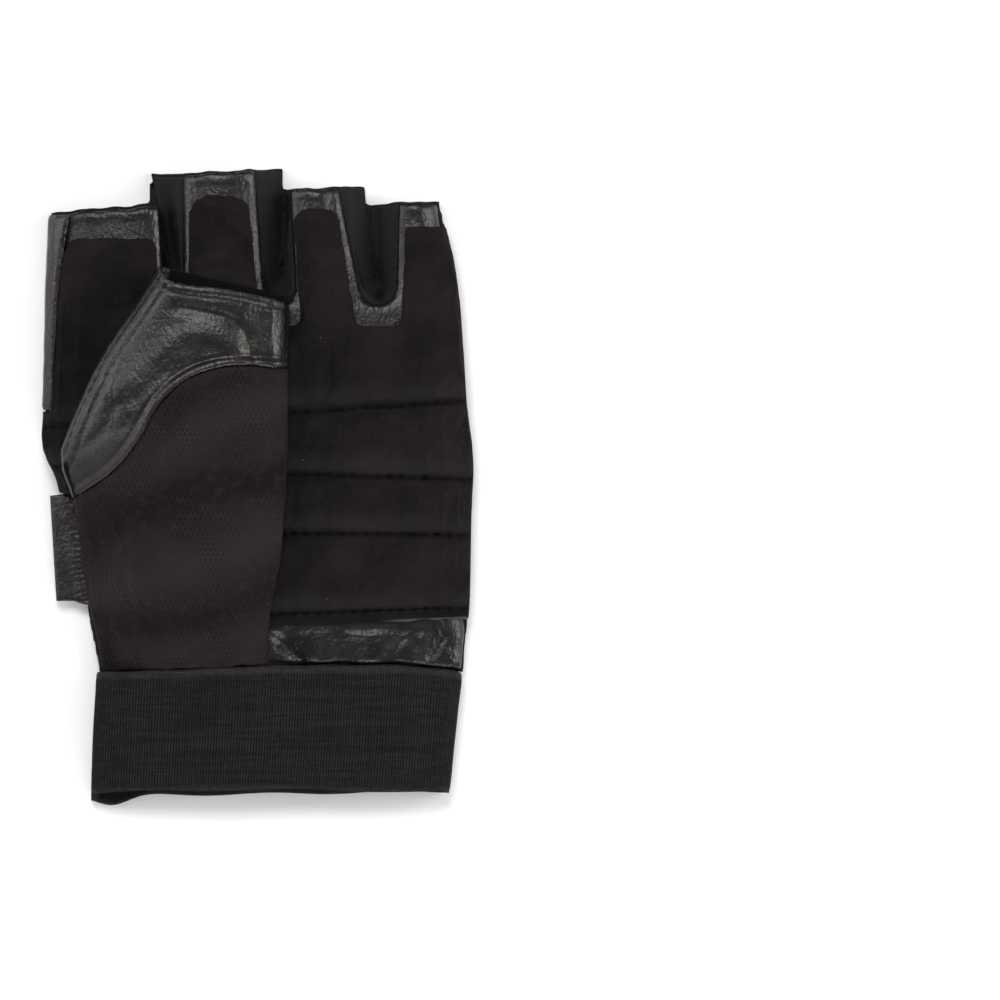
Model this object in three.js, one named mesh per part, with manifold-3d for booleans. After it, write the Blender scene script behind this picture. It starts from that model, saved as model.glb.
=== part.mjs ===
// A half-finger weightlifting glove for the left hand, lying on its back with the palm up and the thumb
// folded over the palm. Millimetres, +X towards the little finger, +Y towards the finger tips, +Z up.
import * as THREE from "three";
import { mergeVertices } from "three/addons/utils/BufferGeometryUtils.js";
import Module from "manifold-3d";

const wasm = await Module();
wasm.setup();

// Driving dimensions
const CUFF_TOP_Y = -46.4; // where the hand joins the wrist cuff at the side seams
// The wrist seam across the palm: high in the middle, falling towards both side seams between these places
const WRIST_SEAM = { left: -46.2, high: -44.4, right: -45.9 };
const WRIST_FALL = { leftFrom: 15, leftTo: -45, rightFrom: 34, rightTo: 52 };
const WRIST_FADE = { from: -36, to: -45 }; // rows bend with the wrist seam below this height
const GAP = 0.35; // clearance between neighbouring pieces
const LEATHER = 1.2; // leather wall
const SUEDE = 1.2; // suede overlay between its pads
const PAD = 2.1; // extra thickness in the middle of a pad
const TOP_PAD = 1.3; // the same for the thin pad below the fingers
const FABRIC = 1.1; // stretch fabric and knitted mesh wall
const BACK = 1.4; // back-of-hand fabric wall
const ELASTIC = 1.8; // wrist elastic wall
const TAB = 2.2; // folded leather tab
const OVERLAY = GAP + SUEDE; // the suede's outer face above the leather's
const CLEAR = 60; // beyond any outline, for cutting prisms

// The leather palm's own outline and heights, by distance along the hand
const HAND = [
  { y: 82, left: -50.5, right: 43.4, seam: 3.2, crown: 11.2 },
  { y: 70, left: -50.7, right: 44.6, seam: 3.2, crown: 11.4 },
  { y: 59, left: -51.2, right: 47.4, seam: 3.4, crown: 11.7 },
  { y: 47, left: -51.7, right: 49.2, seam: 3.6, crown: 12.0 },
  { y: 32, left: -52.0, right: 50.3, seam: 3.9, crown: 12.3 },
  { y: 19, left: -52.3, right: 51.2, seam: 4.0, crown: 12.4 },
  { y: 12, left: -52.8, right: 52.2, seam: 4.0, crown: 12.4 },
  { y: 8, left: -51.9, right: 52.6, seam: 4.0, crown: 12.3 },
  { y: 3, left: -49.4, right: 52.7, seam: 4.0, crown: 12.2 },
  { y: -3, left: -48.0, right: 52.3, seam: 4.0, crown: 12.0 },
  { y: -14, left: -45.6, right: 52.1, seam: 4.0, crown: 11.4 },
  { y: -26, left: -43.6, right: 51.9, seam: 4.0, crown: 10.8 },
  { y: -34, left: -42.0, right: 51.4, seam: 3.9, crown: 10.2 },
  { y: -40, left: -40.8, right: 50.8, seam: 3.8, crown: 9.8 },
  { y: -47, left: -39.6, right: 50.3, seam: 3.7, crown: 9.4 },
];
// Lines that follow the fingers' edges on the palm side, by distance along the hand
const FINGER_EDGES = [
  { y: 82, indexR: -24.8, middleL: -18.6, middleR: -0.8, ringL: 8.1, ringR: 19.8, littleL: 35.3 },
  { y: 62, indexR: -23.6, middleL: -18.4, middleR: 0.2, ringL: 8.4, ringR: 22.8, littleL: 35.6 },
  { y: 46, indexR: -23.3, middleL: -18.6, middleR: 2.2, ringL: 9.6, ringR: 26.2, littleL: 33.9 },
  { y: 20, indexR: -23.5, middleL: -19.5, middleR: 1.6, ringL: 8.0, ringR: 25.6, littleL: 32.0 },
  { y: -47, indexR: -19.0, middleL: -15.0, middleR: 2.4, ringL: 7.4, ringR: 22.0, littleL: 27.0 },
];
// Where the back-of-hand fabric's left rim leaves the palm's side seam: it lies flat under the side tab
const BACK_LEFT = [
  { y: 12, out: 1.2, rim: 1 },
  { y: 3, out: 1.2, rim: 1 },
  { y: -1, out: 0.8, rim: 0.3 },
  { y: -5, out: 0.0, rim: 0 },
  { y: -14, out: -0.4, rim: 0 },
  { y: -26, out: -0.2, rim: 0 },
  { y: -29, out: -0.1, rim: 0 },
  { y: -35, out: 0.2, rim: 1 },
  { y: -47, out: 0.0, rim: 1 },
];
const BACK_RIGHT_OUT = 1.2; // how far the back's rim stands outside the leather's edge
const RIM_UNDER = 0.95; // the back's rim stops this far under the side seam
const RIM_FLAT = 0.3; // its rise where it lies flat under the tab
// Palm-side finger stalls: where the leather ends, and the suede's arched end on it
const FINGERS = [
  {
    name: "index",
    tip: { left: 67.6, right: 70.4 },
    suede: { top: 62.4, left: -47.6, right: -25.0, corner: 3.2 },
  },
  {
    name: "middle",
    tip: { left: 77.8, right: 79.3 },
    suede: { top: 73.0, left: -17.2, right: -1.5, corner: 6.2 },
  },
  {
    name: "ring",
    tip: { left: 74.0, right: 75.0 },
    suede: { top: 69.8, left: 9.0, right: 20.8, corner: 4.6 },
  },
  {
    name: "little",
    tip: { left: 70.6, right: 70.9 },
    suede: { top: 65.3, left: 36.8, right: 60.0, corner: 1.6 },
  },
];
// The suede's cut-out at a notch: how far it stands outside the notch and below it
const SUEDE_FORK = { left: 1.0, right: 1.2, below: 4.2, corner: 1.6 };
const SUEDE_PAST_HEM = 2.7; // the suede runs this far past its last row of stitches
const BACK_LONGER = 0.7; // the back's finger ends reach this far past the leather's
// Notches between the stalls: two sides, a round foot, and the slit in the back that their gussets reach
const FORKS = [
  {
    name: "index_middle",
    left: { tip: -24.5, foot: -23.3, end: 70.3 },
    right: { tip: -18.6, foot: -18.6, end: 77.7 },
    footY: 49.5,
    depth: 3.0,
    slit: { tip: -27.2, middle: -24.4, foot: -21.2 },
  },
  {
    name: "middle_ring",
    left: { tip: -0.6, foot: 1.7, end: 79.3 },
    right: { tip: 8.1, foot: 9.5, end: 74.0 },
    footY: 49.0,
    depth: 4.2,
    slit: { tip: 6.6, middle: 6.4, foot: 6.0 },
  },
  {
    name: "ring_little",
    left: { tip: 20.3, foot: 25.7, end: 75.2 },
    right: { tip: 35.4, foot: 34.8, end: 70.6 },
    footY: 49.6,
    depth: 5.0,
    slit: { tip: 27.0, middle: 28.0, foot: 29.8 },
  },
];
const NOTCH_ROUND = 0.4; // how much squarer than an ellipse a notch's foot is
const SLIT_TIP_Y = 78;
const SLIT_MIDDLE_Y = 66;
const SLIT_FOOT_Y = 52;
const SLIT_HALF = 0.45;

// Sewn channels across the padded palm: height at the middle of the hand, and slope across it
const CHANNELS = [
  { y: 18.2, slope: 0.062 },
  { y: 3.3, slope: -0.028 },
  { y: -11.8, slope: -0.008 },
  { y: -32.4, slope: 0.036 },
];
const TOP_PAD_END = 44; // the thin upper pad fades out towards the finger bases
const CHANNEL_SINK = 0.4; // how far a sewn channel pulls the suede in
const PAD_FLATNESS = 2.4;
const PAD_SIDE = 0.88; // share of the half width where a pad starts to thin towards the side seam

// Thumb stall: outer edge, fold, and how high its upper layer stands over the palm
const THUMB = [
  { y: 57, left: -23.4, fold: 8.3, rise: 11.2 },
  { y: 47, left: -29.2, fold: 8.3, rise: 10.8 },
  { y: 39.5, left: -34.4, fold: 8.2, rise: 10.2 },
  { y: 31.5, left: -39.5, fold: 8.1, rise: 9.8 },
  { y: 19, left: -45.3, fold: 8.0, rise: 9.6 },
  { y: 12, left: -48.0, fold: 7.9, rise: 9.4 },
  { y: 8, left: -49.2, fold: 7.8, rise: 9.2 },
  { y: 3, left: -48.4, fold: 7.6, rise: 9.0 },
  { y: -3, left: -45.9, fold: 7.3, rise: 8.8 },
  { y: -10, left: -45.1, fold: 6.8, rise: 8.2 },
  { y: -18, left: -44.3, fold: 6.2, rise: 7.4 },
  { y: -25, left: -43.3, fold: 4.7, rise: 6.4 },
  { y: -32, left: -41.8, fold: 3.5, rise: 5.2 },
  { y: -40, left: -40.0, fold: 3.1, rise: 3.8 },
  { y: -47, left: -39.1, fold: 3.0, rise: 2.7 },
];
// Soft dents in the thumb's knitted side: from one end to the other, width and depth
const THUMB_DENTS = [
  { x0: -37, y0: -11.5, x1: 6, y1: 3.5, width: 4.2, depth: 1.5 },
  { x0: -36, y0: -26.5, x1: -15, y1: -15.5, width: 3.4, depth: 1.1 },
  { x0: -30, y0: 17, x1: 2, y1: 24.5, width: 3.2, depth: 0.6 },
  { x0: -20, y0: -33, x1: 0, y1: -27.5, width: 3.2, depth: 0.7 },
  { x0: 1.5, y0: 34, x1: 0.5, y1: 45, width: 2.2, depth: 0.8 },
];
// Slanting creases in the leather heel strip
const HEEL_CREASES = [
  { x0: 4, y0: -33, x1: 12, y1: -46, width: 1.9, depth: 1.1 },
  { x0: 20, y0: -46, x1: 27, y1: -35, width: 2.4, depth: 0.9 },
  { x0: 34, y0: -46, x1: 44, y1: -36, width: 2.2, depth: 1.0 },
];
const THUMB_RIM = { upperLeft: 55.2, upperDip: 3.4, upperRight: 45.6, lowerRight: 47.8 };
const THUMB_OPEN = { start: -1.4, end: -9.5 }; // over this stretch the outer edge drops to the back's rim
// Height of the mesh's outer edge, above the tab and then above the back's rim
const THUMB_EDGE = [
  { y: 0, z: 4.7 },
  { y: -10, z: 4.7 },
  { y: -29, z: 4.7 },
  { y: -35, z: 4.1 },
  { y: -47, z: 4.0 },
];
// The palm's cut edge under the thumb, where the thumb's lower layer is sewn on
const THUMB_HOLE = [
  { x: -CLEAR, y: -1.7 },
  { x: -47.0, y: -1.9 },
  { x: -41.0, y: -4.6 },
  { x: -35.0, y: -11.6 },
  { x: -31.4, y: -21.0 },
  { x: -29.8, y: -32.0 },
  { x: -29.2, y: -CLEAR },
];
// The thumb's leather cap ends on this line, from the fold to the outer edge
const CAP_EDGE = [
  { x: CLEAR, y: 29.6 },
  { x: 8.0, y: 29.7 },
  { x: -6.7, y: 30.2 },
  { x: -16.7, y: 27.2 },
  { x: -24.2, y: 20.5 },
  { x: -29.2, y: 11.8 },
  { x: -35.5, y: 4.2 },
  { x: -45.5, y: -2.6 },
  { x: -CLEAR, y: -12 },
];
// Leather strip down the outer side of the index stall: its inner edge
const STRIP_EDGE = [
  { x: -46.9, y: 82 },
  { x: -47.2, y: 67.5 },
  { x: -48.4, y: 60 },
  { x: -49.8, y: 48.8 },
  { x: -50.7, y: 33 },
  { x: -51.2, y: 19 },
];
const STRIP_END_Y = 19;
const STRIP_TIP_Y = 68.1;
const STRIP_FOOT_X = -51.4;
const STRIP_TIP_X = -47.2;

const TAB_SHAPE = { top: -2.1, bottom: -28.6, leftTop: -52.2, leftBottom: -50.6, inner: -41.0, lift: 2.05 };

// Wrist cuff: outline, top of the flattened ring over the thumb side and over the palm side
const CUFF = [
  { y: CUFF_TOP_Y - GAP, left: -40.2, right: 51.0, seam: 3.7, high: 12.6, low: 9.8 },
  { y: -49.5, left: -40.4, right: 50.9, seam: 3.9, high: 12.6, low: 10.2 },
  { y: -56, left: -40.8, right: 50.1, seam: 4.1, high: 12.3, low: 11.0 },
  { y: -64, left: -41.2, right: 49.4, seam: 4.2, high: 12.0, low: 11.4 },
  { y: -72, left: -41.6, right: 48.6, seam: 4.2, high: 11.9, low: 11.4 },
  { y: -81, left: -41.9, right: 47.4, seam: 4.0, high: 11.8, low: 11.2 },
];
const CUFF_ROWS = [0, 0.07, 0.22, 0.42, 0.62, 0.82, 1];
// Its free end: the upper layer's bowed edge, and the lower layer's, longer at a tongue, rising to the right
const CUFF_END = { upper: -76.6, bow: 0.81, lower: -78.6, rise: 1.2 };
const CUFF_TONGUE = { x: -35.5, length: 1.4, width: 6 };
const CUFF_SHARE = { from: -6, to: 14 }; // here the top falls from its thumb side to its palm side
const CUFF_SIDE = 0.97; // share of its half width within which the upper layer follows the wrist seam
const CUFF_TOP_FLATNESS = 3.4;
const CUFF_LOW_FLATNESS = 7;

// A smooth function through one named column of a table, by its y column
function column(rows, name) {
  const sorted = [...rows].sort((a, b) => a.y - b.y);
  const slope = sorted.map((row, i) => {
    const before = sorted[Math.max(i - 1, 0)];
    const after = sorted[Math.min(i + 1, sorted.length - 1)];
    return (after[name] - before[name]) / (after.y - before.y);
  });
  return (y) => {
    let i = sorted.findIndex((row) => row.y >= y);
    if (i === 0) return sorted[0][name];
    if (i < 0) return sorted.at(-1)[name];
    const a = sorted[i - 1], b = sorted[i];
    const span = b.y - a.y, t = (y - a.y) / span;
    const near = (1 + 2 * t) * (1 - t) ** 2 * a[name] + t * (1 - t) ** 2 * span * slope[i - 1];
    const far = t * t * (3 - 2 * t) * b[name] + t * t * (t - 1) * span * slope[i];
    return near + far;
  };
}
const columns = (rows) =>
  Object.fromEntries(Object.keys(rows[0]).filter((k) => k !== "y").map((k) => [k, column(rows, k)]));

const hand = columns(HAND);
const edges = columns(FINGER_EDGES);
const backLeft = columns(BACK_LEFT);
const thumb = columns(THUMB);
const thumbEdge = columns(THUMB_EDGE);
const cuff = columns(CUFF);

const lerp = THREE.MathUtils.lerp;
const smooth = (v, from, to) => THREE.MathUtils.smoothstep(v, Math.min(from, to), Math.max(from, to));
const rising = (v, from, to) => (from < to ? smooth(v, from, to) : 1 - smooth(v, from, to));
// Depth at a plan point of a table of straight dents with soft ends
function dented(rows, x, y) {
  return rows.reduce((sum, { x0, y0, x1, y1, width, depth }) => {
    const run = new THREE.Vector2(x1 - x0, y1 - y0);
    const t = THREE.MathUtils.clamp(((x - x0) * run.x + (y - y0) * run.y) / run.lengthSq(), 0, 1);
    const away = Math.hypot(x - x0 - t * run.x, y - y0 - t * run.y);
    return sum + depth * Math.exp(-((away / width) ** 2));
  }, 0);
}
// A flattened dome from 0 at its edges (u = -1 and 1) to 1 in the middle
const dome = (u, flatness) => (1 - Math.min(Math.abs(u), 1) ** flatness) ** (1 / flatness);

const HAND_FLATNESS = 3.2;
const FORK_DIP = 2.4; // how far a stall's surface falls towards a notch
const FORK_DIP_WIDTH = 2.8;
const FORK_DIP_Y = { from: 42, to: 56 };
const HEEL_Y = { from: -35.2, to: -38.5 }; // the heel strip's creases deepen over this stretch
const EDGE_NAMES = Object.keys(FINGER_EDGES[0]).filter((name) => name !== "y");

// Height of the leather palm's outer face
function palmZ(x, y) {
  const left = hand.left(y), right = hand.right(y);
  const u = (2 * x - left - right) / (right - left);
  const height = hand.seam(y) + (hand.crown(y) - hand.seam(y)) * dome(u, HAND_FLATNESS);
  const dips = EDGE_NAMES.map((name) => Math.exp(-(((x - edges[name](y)) / FORK_DIP_WIDTH) ** 2)));
  const crease = dented(HEEL_CREASES, x, y) * rising(y, HEEL_Y.from, HEEL_Y.to);
  const sunk = FORK_DIP * Math.max(...dips) * rising(y, FORK_DIP_Y.from, FORK_DIP_Y.to) + crease;
  return height - sunk * dome(u, HAND_FLATNESS);
}

const channelY = (channel, x) => channel.y + channel.slope * x;
// Extra thickness of the padded suede: full in the middle of a pad, none at a sewn channel or a side seam
function padAt(x, y) {
  const left = hand.left(y), right = hand.right(y);
  const u = Math.abs((2 * x - left - right) / (right - left));
  const side = rising(u, 1, PAD_SIDE);
  const lines = CHANNELS.map((c) => channelY(c, x));
  if (y > lines[0]) {
    const t = (y - lines[0]) / (TOP_PAD_END - lines[0]);
    return t < 1 ? TOP_PAD * side * Math.sin(Math.PI * Math.min(1, 0.5 * t + 0.5 * Math.sqrt(t))) : 0;
  }
  const below = lines.findIndex((line) => y > line);
  if (below < 1) return 0;
  const high = lines[below - 1], low = lines[below];
  return PAD * side * dome((2 * y - high - low) / (high - low), PAD_FLATNESS);
}

// Solids from grids of points

// A closed solid between a grid of outer points and the same grid moved in by a thickness
function wall(outer, thickness, closed = false) {
  const rows = outer.length, cols = outer[0].length;
  const within = (k, count) => Math.min(Math.max(k, 0), count - 1);
  const at = (j, i) => outer[within(j, rows)][closed ? (i + cols) % cols : within(i, cols)];
  const across = new THREE.Vector3(), along = new THREE.Vector3();
  const inner = outer.map((row, j) =>
    row.map((p, i) => {
      across.subVectors(at(j, i + 1), at(j, i - 1));
      along.subVectors(at(j + 1, i), at(j - 1, i));
      const normal = new THREE.Vector3().crossVectors(across, along).normalize();
      const t = typeof thickness === "function" ? thickness(p, j, i) : thickness;
      return p.clone().addScaledVector(normal, -t);
    }),
  );
  const index = (layer, j, i) => (layer * rows + j) * cols + (closed ? i % cols : i);
  const faces = [];
  const quad = (a, b, c, d) => faces.push(a, b, c, a, c, d);
  const last = closed ? cols : cols - 1;
  for (let j = 0; j < rows - 1; j++)
    for (let i = 0; i < last; i++) {
      quad(index(0, j, i), index(0, j, i + 1), index(0, j + 1, i + 1), index(0, j + 1, i));
      quad(index(1, j, i), index(1, j + 1, i), index(1, j + 1, i + 1), index(1, j, i + 1));
    }
  const bottom = rows - 1, side = cols - 1;
  for (let i = 0; i < last; i++) {
    quad(index(0, 0, i), index(1, 0, i), index(1, 0, i + 1), index(0, 0, i + 1));
    quad(index(0, bottom, i), index(0, bottom, i + 1), index(1, bottom, i + 1), index(1, bottom, i));
  }
  if (!closed)
    for (let j = 0; j < bottom; j++) {
      quad(index(0, j, 0), index(0, j + 1, 0), index(1, j + 1, 0), index(1, j, 0));
      quad(index(0, j, side), index(1, j, side), index(1, j + 1, side), index(0, j + 1, side));
    }
  return solid([...outer.flat(), ...inner.flat()], faces);
}

function solid(points, faces) {
  return new wasm.Manifold(
    new wasm.Mesh({
      numProp: 3,
      vertProperties: new Float32Array(points.flatMap((p) => [p.x, p.y, p.z])),
      triVerts: new Uint32Array(faces),
    }),
  );
}

const PRISM_STEPS = 5; // on each curve of an outline
// An upright prism over a plan outline, for cutting a wall to its shape
function prism(shape, low = -CLEAR, high = CLEAR) {
  const settings = { depth: high - low, bevelEnabled: false, curveSegments: PRISM_STEPS };
  const geometry = new THREE.ExtrudeGeometry(shape, settings);
  geometry.translate(0, 0, low);
  geometry.deleteAttribute("normal");
  geometry.deleteAttribute("uv");
  const merged = mergeVertices(geometry, 1e-4);
  const position = merged.getAttribute("position");
  const corner = (_, i) => new THREE.Vector3().fromBufferAttribute(position, i);
  const points = Array.from({ length: position.count }, corner);
  return solid(points, Array.from(merged.index.array));
}

// Plan points along a smooth line through a table's x and y columns
function smoothLine(rows, steps) {
  const points = rows.map((r) => new THREE.Vector3(r.x, r.y, 0));
  const curve = new THREE.CatmullRomCurve3(points, false, "centripetal");
  return curve.getPoints(steps).map((p) => new THREE.Vector2(p.x, p.y));
}
const boxShape = (x0, x1, y0, y1) =>
  new THREE.Shape([[x0, y0], [x1, y0], [x1, y1], [x0, y1]].map(([x, y]) => new THREE.Vector2(x, y)));

// Grids over the hand

const OUTER_FINGER = [0, 0.012, 0.05, 0.13, 0.28, 0.48, 0.7, 0.88, 1];
const INNER_FINGER = [0, 0.16, 0.38, 0.62, 0.84, 1];
// Places across the hand at a distance y, with lines along every finger edge
function across(y) {
  const spread = (a, b, list) => list.map((t) => lerp(a, b, t));
  return [
    ...spread(hand.left(y), edges.indexR(y), OUTER_FINGER),
    ...spread(edges.middleL(y), edges.middleR(y), INNER_FINGER),
    ...spread(edges.ringL(y), edges.ringR(y), INNER_FINGER),
    ...spread(hand.right(y), edges.littleL(y), OUTER_FINGER).reverse(),
  ];
}

// How far the wrist seam lies above its ends at a place across the hand
function wristRise(x) {
  const { left, high, right } = WRIST_SEAM;
  const toLeft = rising(x, WRIST_FALL.leftFrom, WRIST_FALL.leftTo);
  const toRight = rising(x, WRIST_FALL.rightFrom, WRIST_FALL.rightTo);
  const seam = high + (left - high) * toLeft + (right - high) * toRight;
  return seam - CUFF_TOP_Y;
}
const atWrist = (x, y) => y + wristRise(x) * rising(y, WRIST_FADE.from, WRIST_FADE.to);

// The leather face's points on a row, which may slope across the hand
function palmRow(rowY, slope) {
  const places = across(rowY);
  return places.map((place) => {
    const y = atWrist(place, rowY + slope * place);
    const t = (place - places[0]) / (places.at(-1) - places[0]);
    const x = lerp(hand.left(y), hand.right(y), t);
    return new THREE.Vector3(x, y, palmZ(x, y));
  });
}

const HIGH_Y = 81;
const BEYOND_Y = HIGH_Y + 8;
const LEATHER_ROWS = [CUFF_TOP_Y, -42.5, -38.5, -34, -12, -1, 4, 9, 13, 20, 31, 44.5, 50, 57, 66, HIGH_Y];
const leatherGrid = LEATHER_ROWS.map((y) => palmRow(y, 0));

// Rows of the suede follow its sewn channels, with closer rows beside each
const PAD_ROWS = [0, 0.07, 0.2, 0.5, 0.8, 0.93];
const FIRST_ROW = { y: -38, slope: 0.02 };
const UPPER_ROWS = [20, 25, 31, 38, 44.5, 50, 57, 66, 76];
const LEVEL_Y = { from: 44, to: 20 }; // rows are level above this and slope with the top channel below it
function suedeRows() {
  const rows = [FIRST_ROW];
  for (let i = CHANNELS.length - 1; i > 0; i--) {
    const from = CHANNELS[i], to = CHANNELS[i - 1];
    for (const t of PAD_ROWS) rows.push({ y: lerp(from.y, to.y, t), slope: lerp(from.slope, to.slope, t) });
  }
  const top = CHANNELS[0];
  rows.push(top);
  for (const y of UPPER_ROWS) rows.push({ y, slope: top.slope * rising(y, LEVEL_Y.from, LEVEL_Y.to) });
  return rows;
}
// Moves a grid out along its own normals
function lifted(grid, height) {
  const step = (list, k) => [list[Math.min(k + 1, list.length - 1)], list[Math.max(k - 1, 0)]];
  return grid.map((row, j) =>
    row.map((p, i) => {
      const across = new THREE.Vector3().subVectors(...step(row, i));
      const [next, before] = step(grid, j);
      const along = new THREE.Vector3().subVectors(next[i], before[i]);
      return p.clone().addScaledVector(across.cross(along).normalize(), height(p));
    }),
  );
}

// Plan outlines

// The round foot of a notch between two stalls
function notchFoot({ left, right, footY, depth }) {
  const low = footY - depth - NOTCH_ROUND;
  return new THREE.CubicBezierCurve(
    new THREE.Vector2(left.foot, footY),
    new THREE.Vector2(left.foot + NOTCH_ROUND, low),
    new THREE.Vector2(right.foot - NOTCH_ROUND, low),
    new THREE.Vector2(right.foot, footY),
  );
}
function notchShape(fork) {
  const { left, right, footY } = fork;
  const { v1, v2 } = notchFoot(fork);
  const shape = new THREE.Shape();
  shape.moveTo(left.tip, BEYOND_Y);
  shape.lineTo(left.tip, left.end);
  shape.lineTo(left.foot, footY);
  shape.bezierCurveTo(v1.x, v1.y, v2.x, v2.y, right.foot, footY);
  shape.lineTo(right.tip, right.end);
  shape.lineTo(right.tip, BEYOND_Y);
  return shape;
}

// Everything beyond the stalls' open ends
function tipShape(finger, left, right, extra = 0) {
  const shape = new THREE.Shape();
  shape.moveTo(left, finger.tip.left + extra);
  shape.lineTo(right, finger.tip.right + extra);
  shape.lineTo(right, BEYOND_Y);
  shape.lineTo(left, BEYOND_Y);
  return shape;
}
const notchMiddle = (fork) => (fork.left.tip + fork.right.tip) / 2;
const palmTips = FINGERS.map((f, k) =>
  tipShape(f, k ? notchMiddle(FORKS[k - 1]) : -CLEAR, k < FORKS.length ? notchMiddle(FORKS[k]) : CLEAR),
);

function slitLine(fork) {
  return [
    { x: fork.slit.foot, y: SLIT_FOOT_Y },
    { x: fork.slit.middle, y: SLIT_MIDDLE_Y },
    { x: fork.slit.tip, y: SLIT_TIP_Y },
    { x: fork.slit.tip, y: BEYOND_Y },
  ];
}
function slitShape(fork) {
  const line = slitLine(fork);
  const points = [
    new THREE.Vector2(fork.slit.foot, SLIT_FOOT_Y - 2 * SLIT_HALF),
    ...line.map((p) => new THREE.Vector2(p.x + SLIT_HALF, p.y)),
    ...line.map((p) => new THREE.Vector2(p.x - SLIT_HALF, p.y)).reverse(),
  ];
  return new THREE.Shape(points);
}

// The opening in the palm's left side that the thumb is sewn into
function thumbHoleShape() {
  const line = smoothLine(THUMB_HOLE, 26);
  return new THREE.Shape([...line, new THREE.Vector2(-CLEAR, -CLEAR)]);
}

// The suede overlay's plan outline: arched ends on the stalls, notches between, the hem at the heel
function suedeShape() {
  const shape = new THREE.Shape();
  shape.moveTo(-CLEAR, -CLEAR);
  shape.lineTo(CLEAR, -CLEAR);
  for (const finger of [...FINGERS].reverse()) {
    const { left, right, top, corner } = finger.suede;
    shape.lineTo(right, top - corner);
    shape.quadraticCurveTo(right, top, right - corner, top);
    shape.lineTo(left + corner, top);
    shape.quadraticCurveTo(left, top, left, top - corner);
    const fork = FORKS[FINGERS.indexOf(finger) - 1];
    if (!fork) break;
    const low = fork.footY - fork.depth - SUEDE_FORK.below;
    const leftFoot = fork.left.foot - SUEDE_FORK.left, rightFoot = fork.right.foot + SUEDE_FORK.right;
    shape.lineTo(rightFoot, low + SUEDE_FORK.corner);
    shape.quadraticCurveTo(rightFoot, low, rightFoot - SUEDE_FORK.corner, low);
    shape.lineTo(leftFoot + SUEDE_FORK.corner, low);
    shape.quadraticCurveTo(leftFoot, low, leftFoot, low + SUEDE_FORK.corner);
  }
  const { top, corner } = FINGERS[0].suede;
  for (const p of stripEdge(GAP / 2, top - corner)) shape.lineTo(p.x, p.y);
  shape.lineTo(-CLEAR, STRIP_END_Y);
  return shape;
}

function hemShape() {
  const hem = CHANNELS.at(-1);
  const below = (x) => new THREE.Vector2(x, channelY(hem, x) - SUEDE_PAST_HEM);
  const foot = [new THREE.Vector2(-CLEAR, -CLEAR), new THREE.Vector2(CLEAR, -CLEAR)];
  return new THREE.Shape([below(-CLEAR), ...foot, below(CLEAR)]);
}

// The strip's inner edge, moved sideways, from a height down to its end
function stripEdge(aside, high) {
  const line = smoothLine(STRIP_EDGE, 12).map((p) => p.setX(p.x + aside));
  return line.filter((p) => p.y < high && p.y >= STRIP_END_Y);
}
function stripShape() {
  const edge = stripEdge(-GAP / 2, STRIP_TIP_Y);
  const end = STRIP_END_Y + GAP;
  return new THREE.Shape([
    new THREE.Vector2(-CLEAR, STRIP_TIP_Y),
    new THREE.Vector2(-CLEAR, end),
    new THREE.Vector2(STRIP_FOOT_X, end),
    ...edge.reverse(),
    new THREE.Vector2(STRIP_TIP_X, STRIP_TIP_Y),
  ]);
}

// The thumb's plan region above (side 1) or below (side -1) the leather cap's edge
function capShape(side) {
  const line = smoothLine(CAP_EDGE, 30).map((p) => p.setY(p.y + (side * GAP) / 2));
  const far = side * 2 * CLEAR;
  return new THREE.Shape([...line, new THREE.Vector2(-CLEAR, far), new THREE.Vector2(CLEAR, far)]);
}

// Pieces

function palmLeather() {
  let piece = wall(leatherGrid, LEATHER);
  for (const shape of palmTips) piece = piece.subtract(prism(shape));
  for (const fork of FORKS) piece = piece.subtract(prism(notchShape(fork)));
  return piece.subtract(prism(thumbHoleShape()));
}

function palmSuede() {
  const base = suedeRows().map(({ y, slope }) => palmRow(y, slope));
  const thick = (p) => SUEDE + Math.max(padAt(p.x, p.y) - CHANNEL_SINK, 0);
  const outer = lifted(base, (p) => GAP + thick(p));
  const heights = base.map((row) => row.map(thick));
  const piece = wall(outer, (_, j, i) => heights[j][i]);
  return piece.intersect(prism(suedeShape())).subtract(prism(hemShape())).subtract(prism(thumbHoleShape()));
}

const STRIP_ROWS = [17, 27, 38, 49, 60, 72];
const STRIP_COLUMNS = 6;
function indexSideStrip() {
  const grid = STRIP_ROWS.map((y) => palmRow(y, 0).slice(0, STRIP_COLUMNS));
  const outer = lifted(grid, () => OVERLAY);
  return wall(outer, SUEDE).intersect(prism(stripShape()));
}

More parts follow.
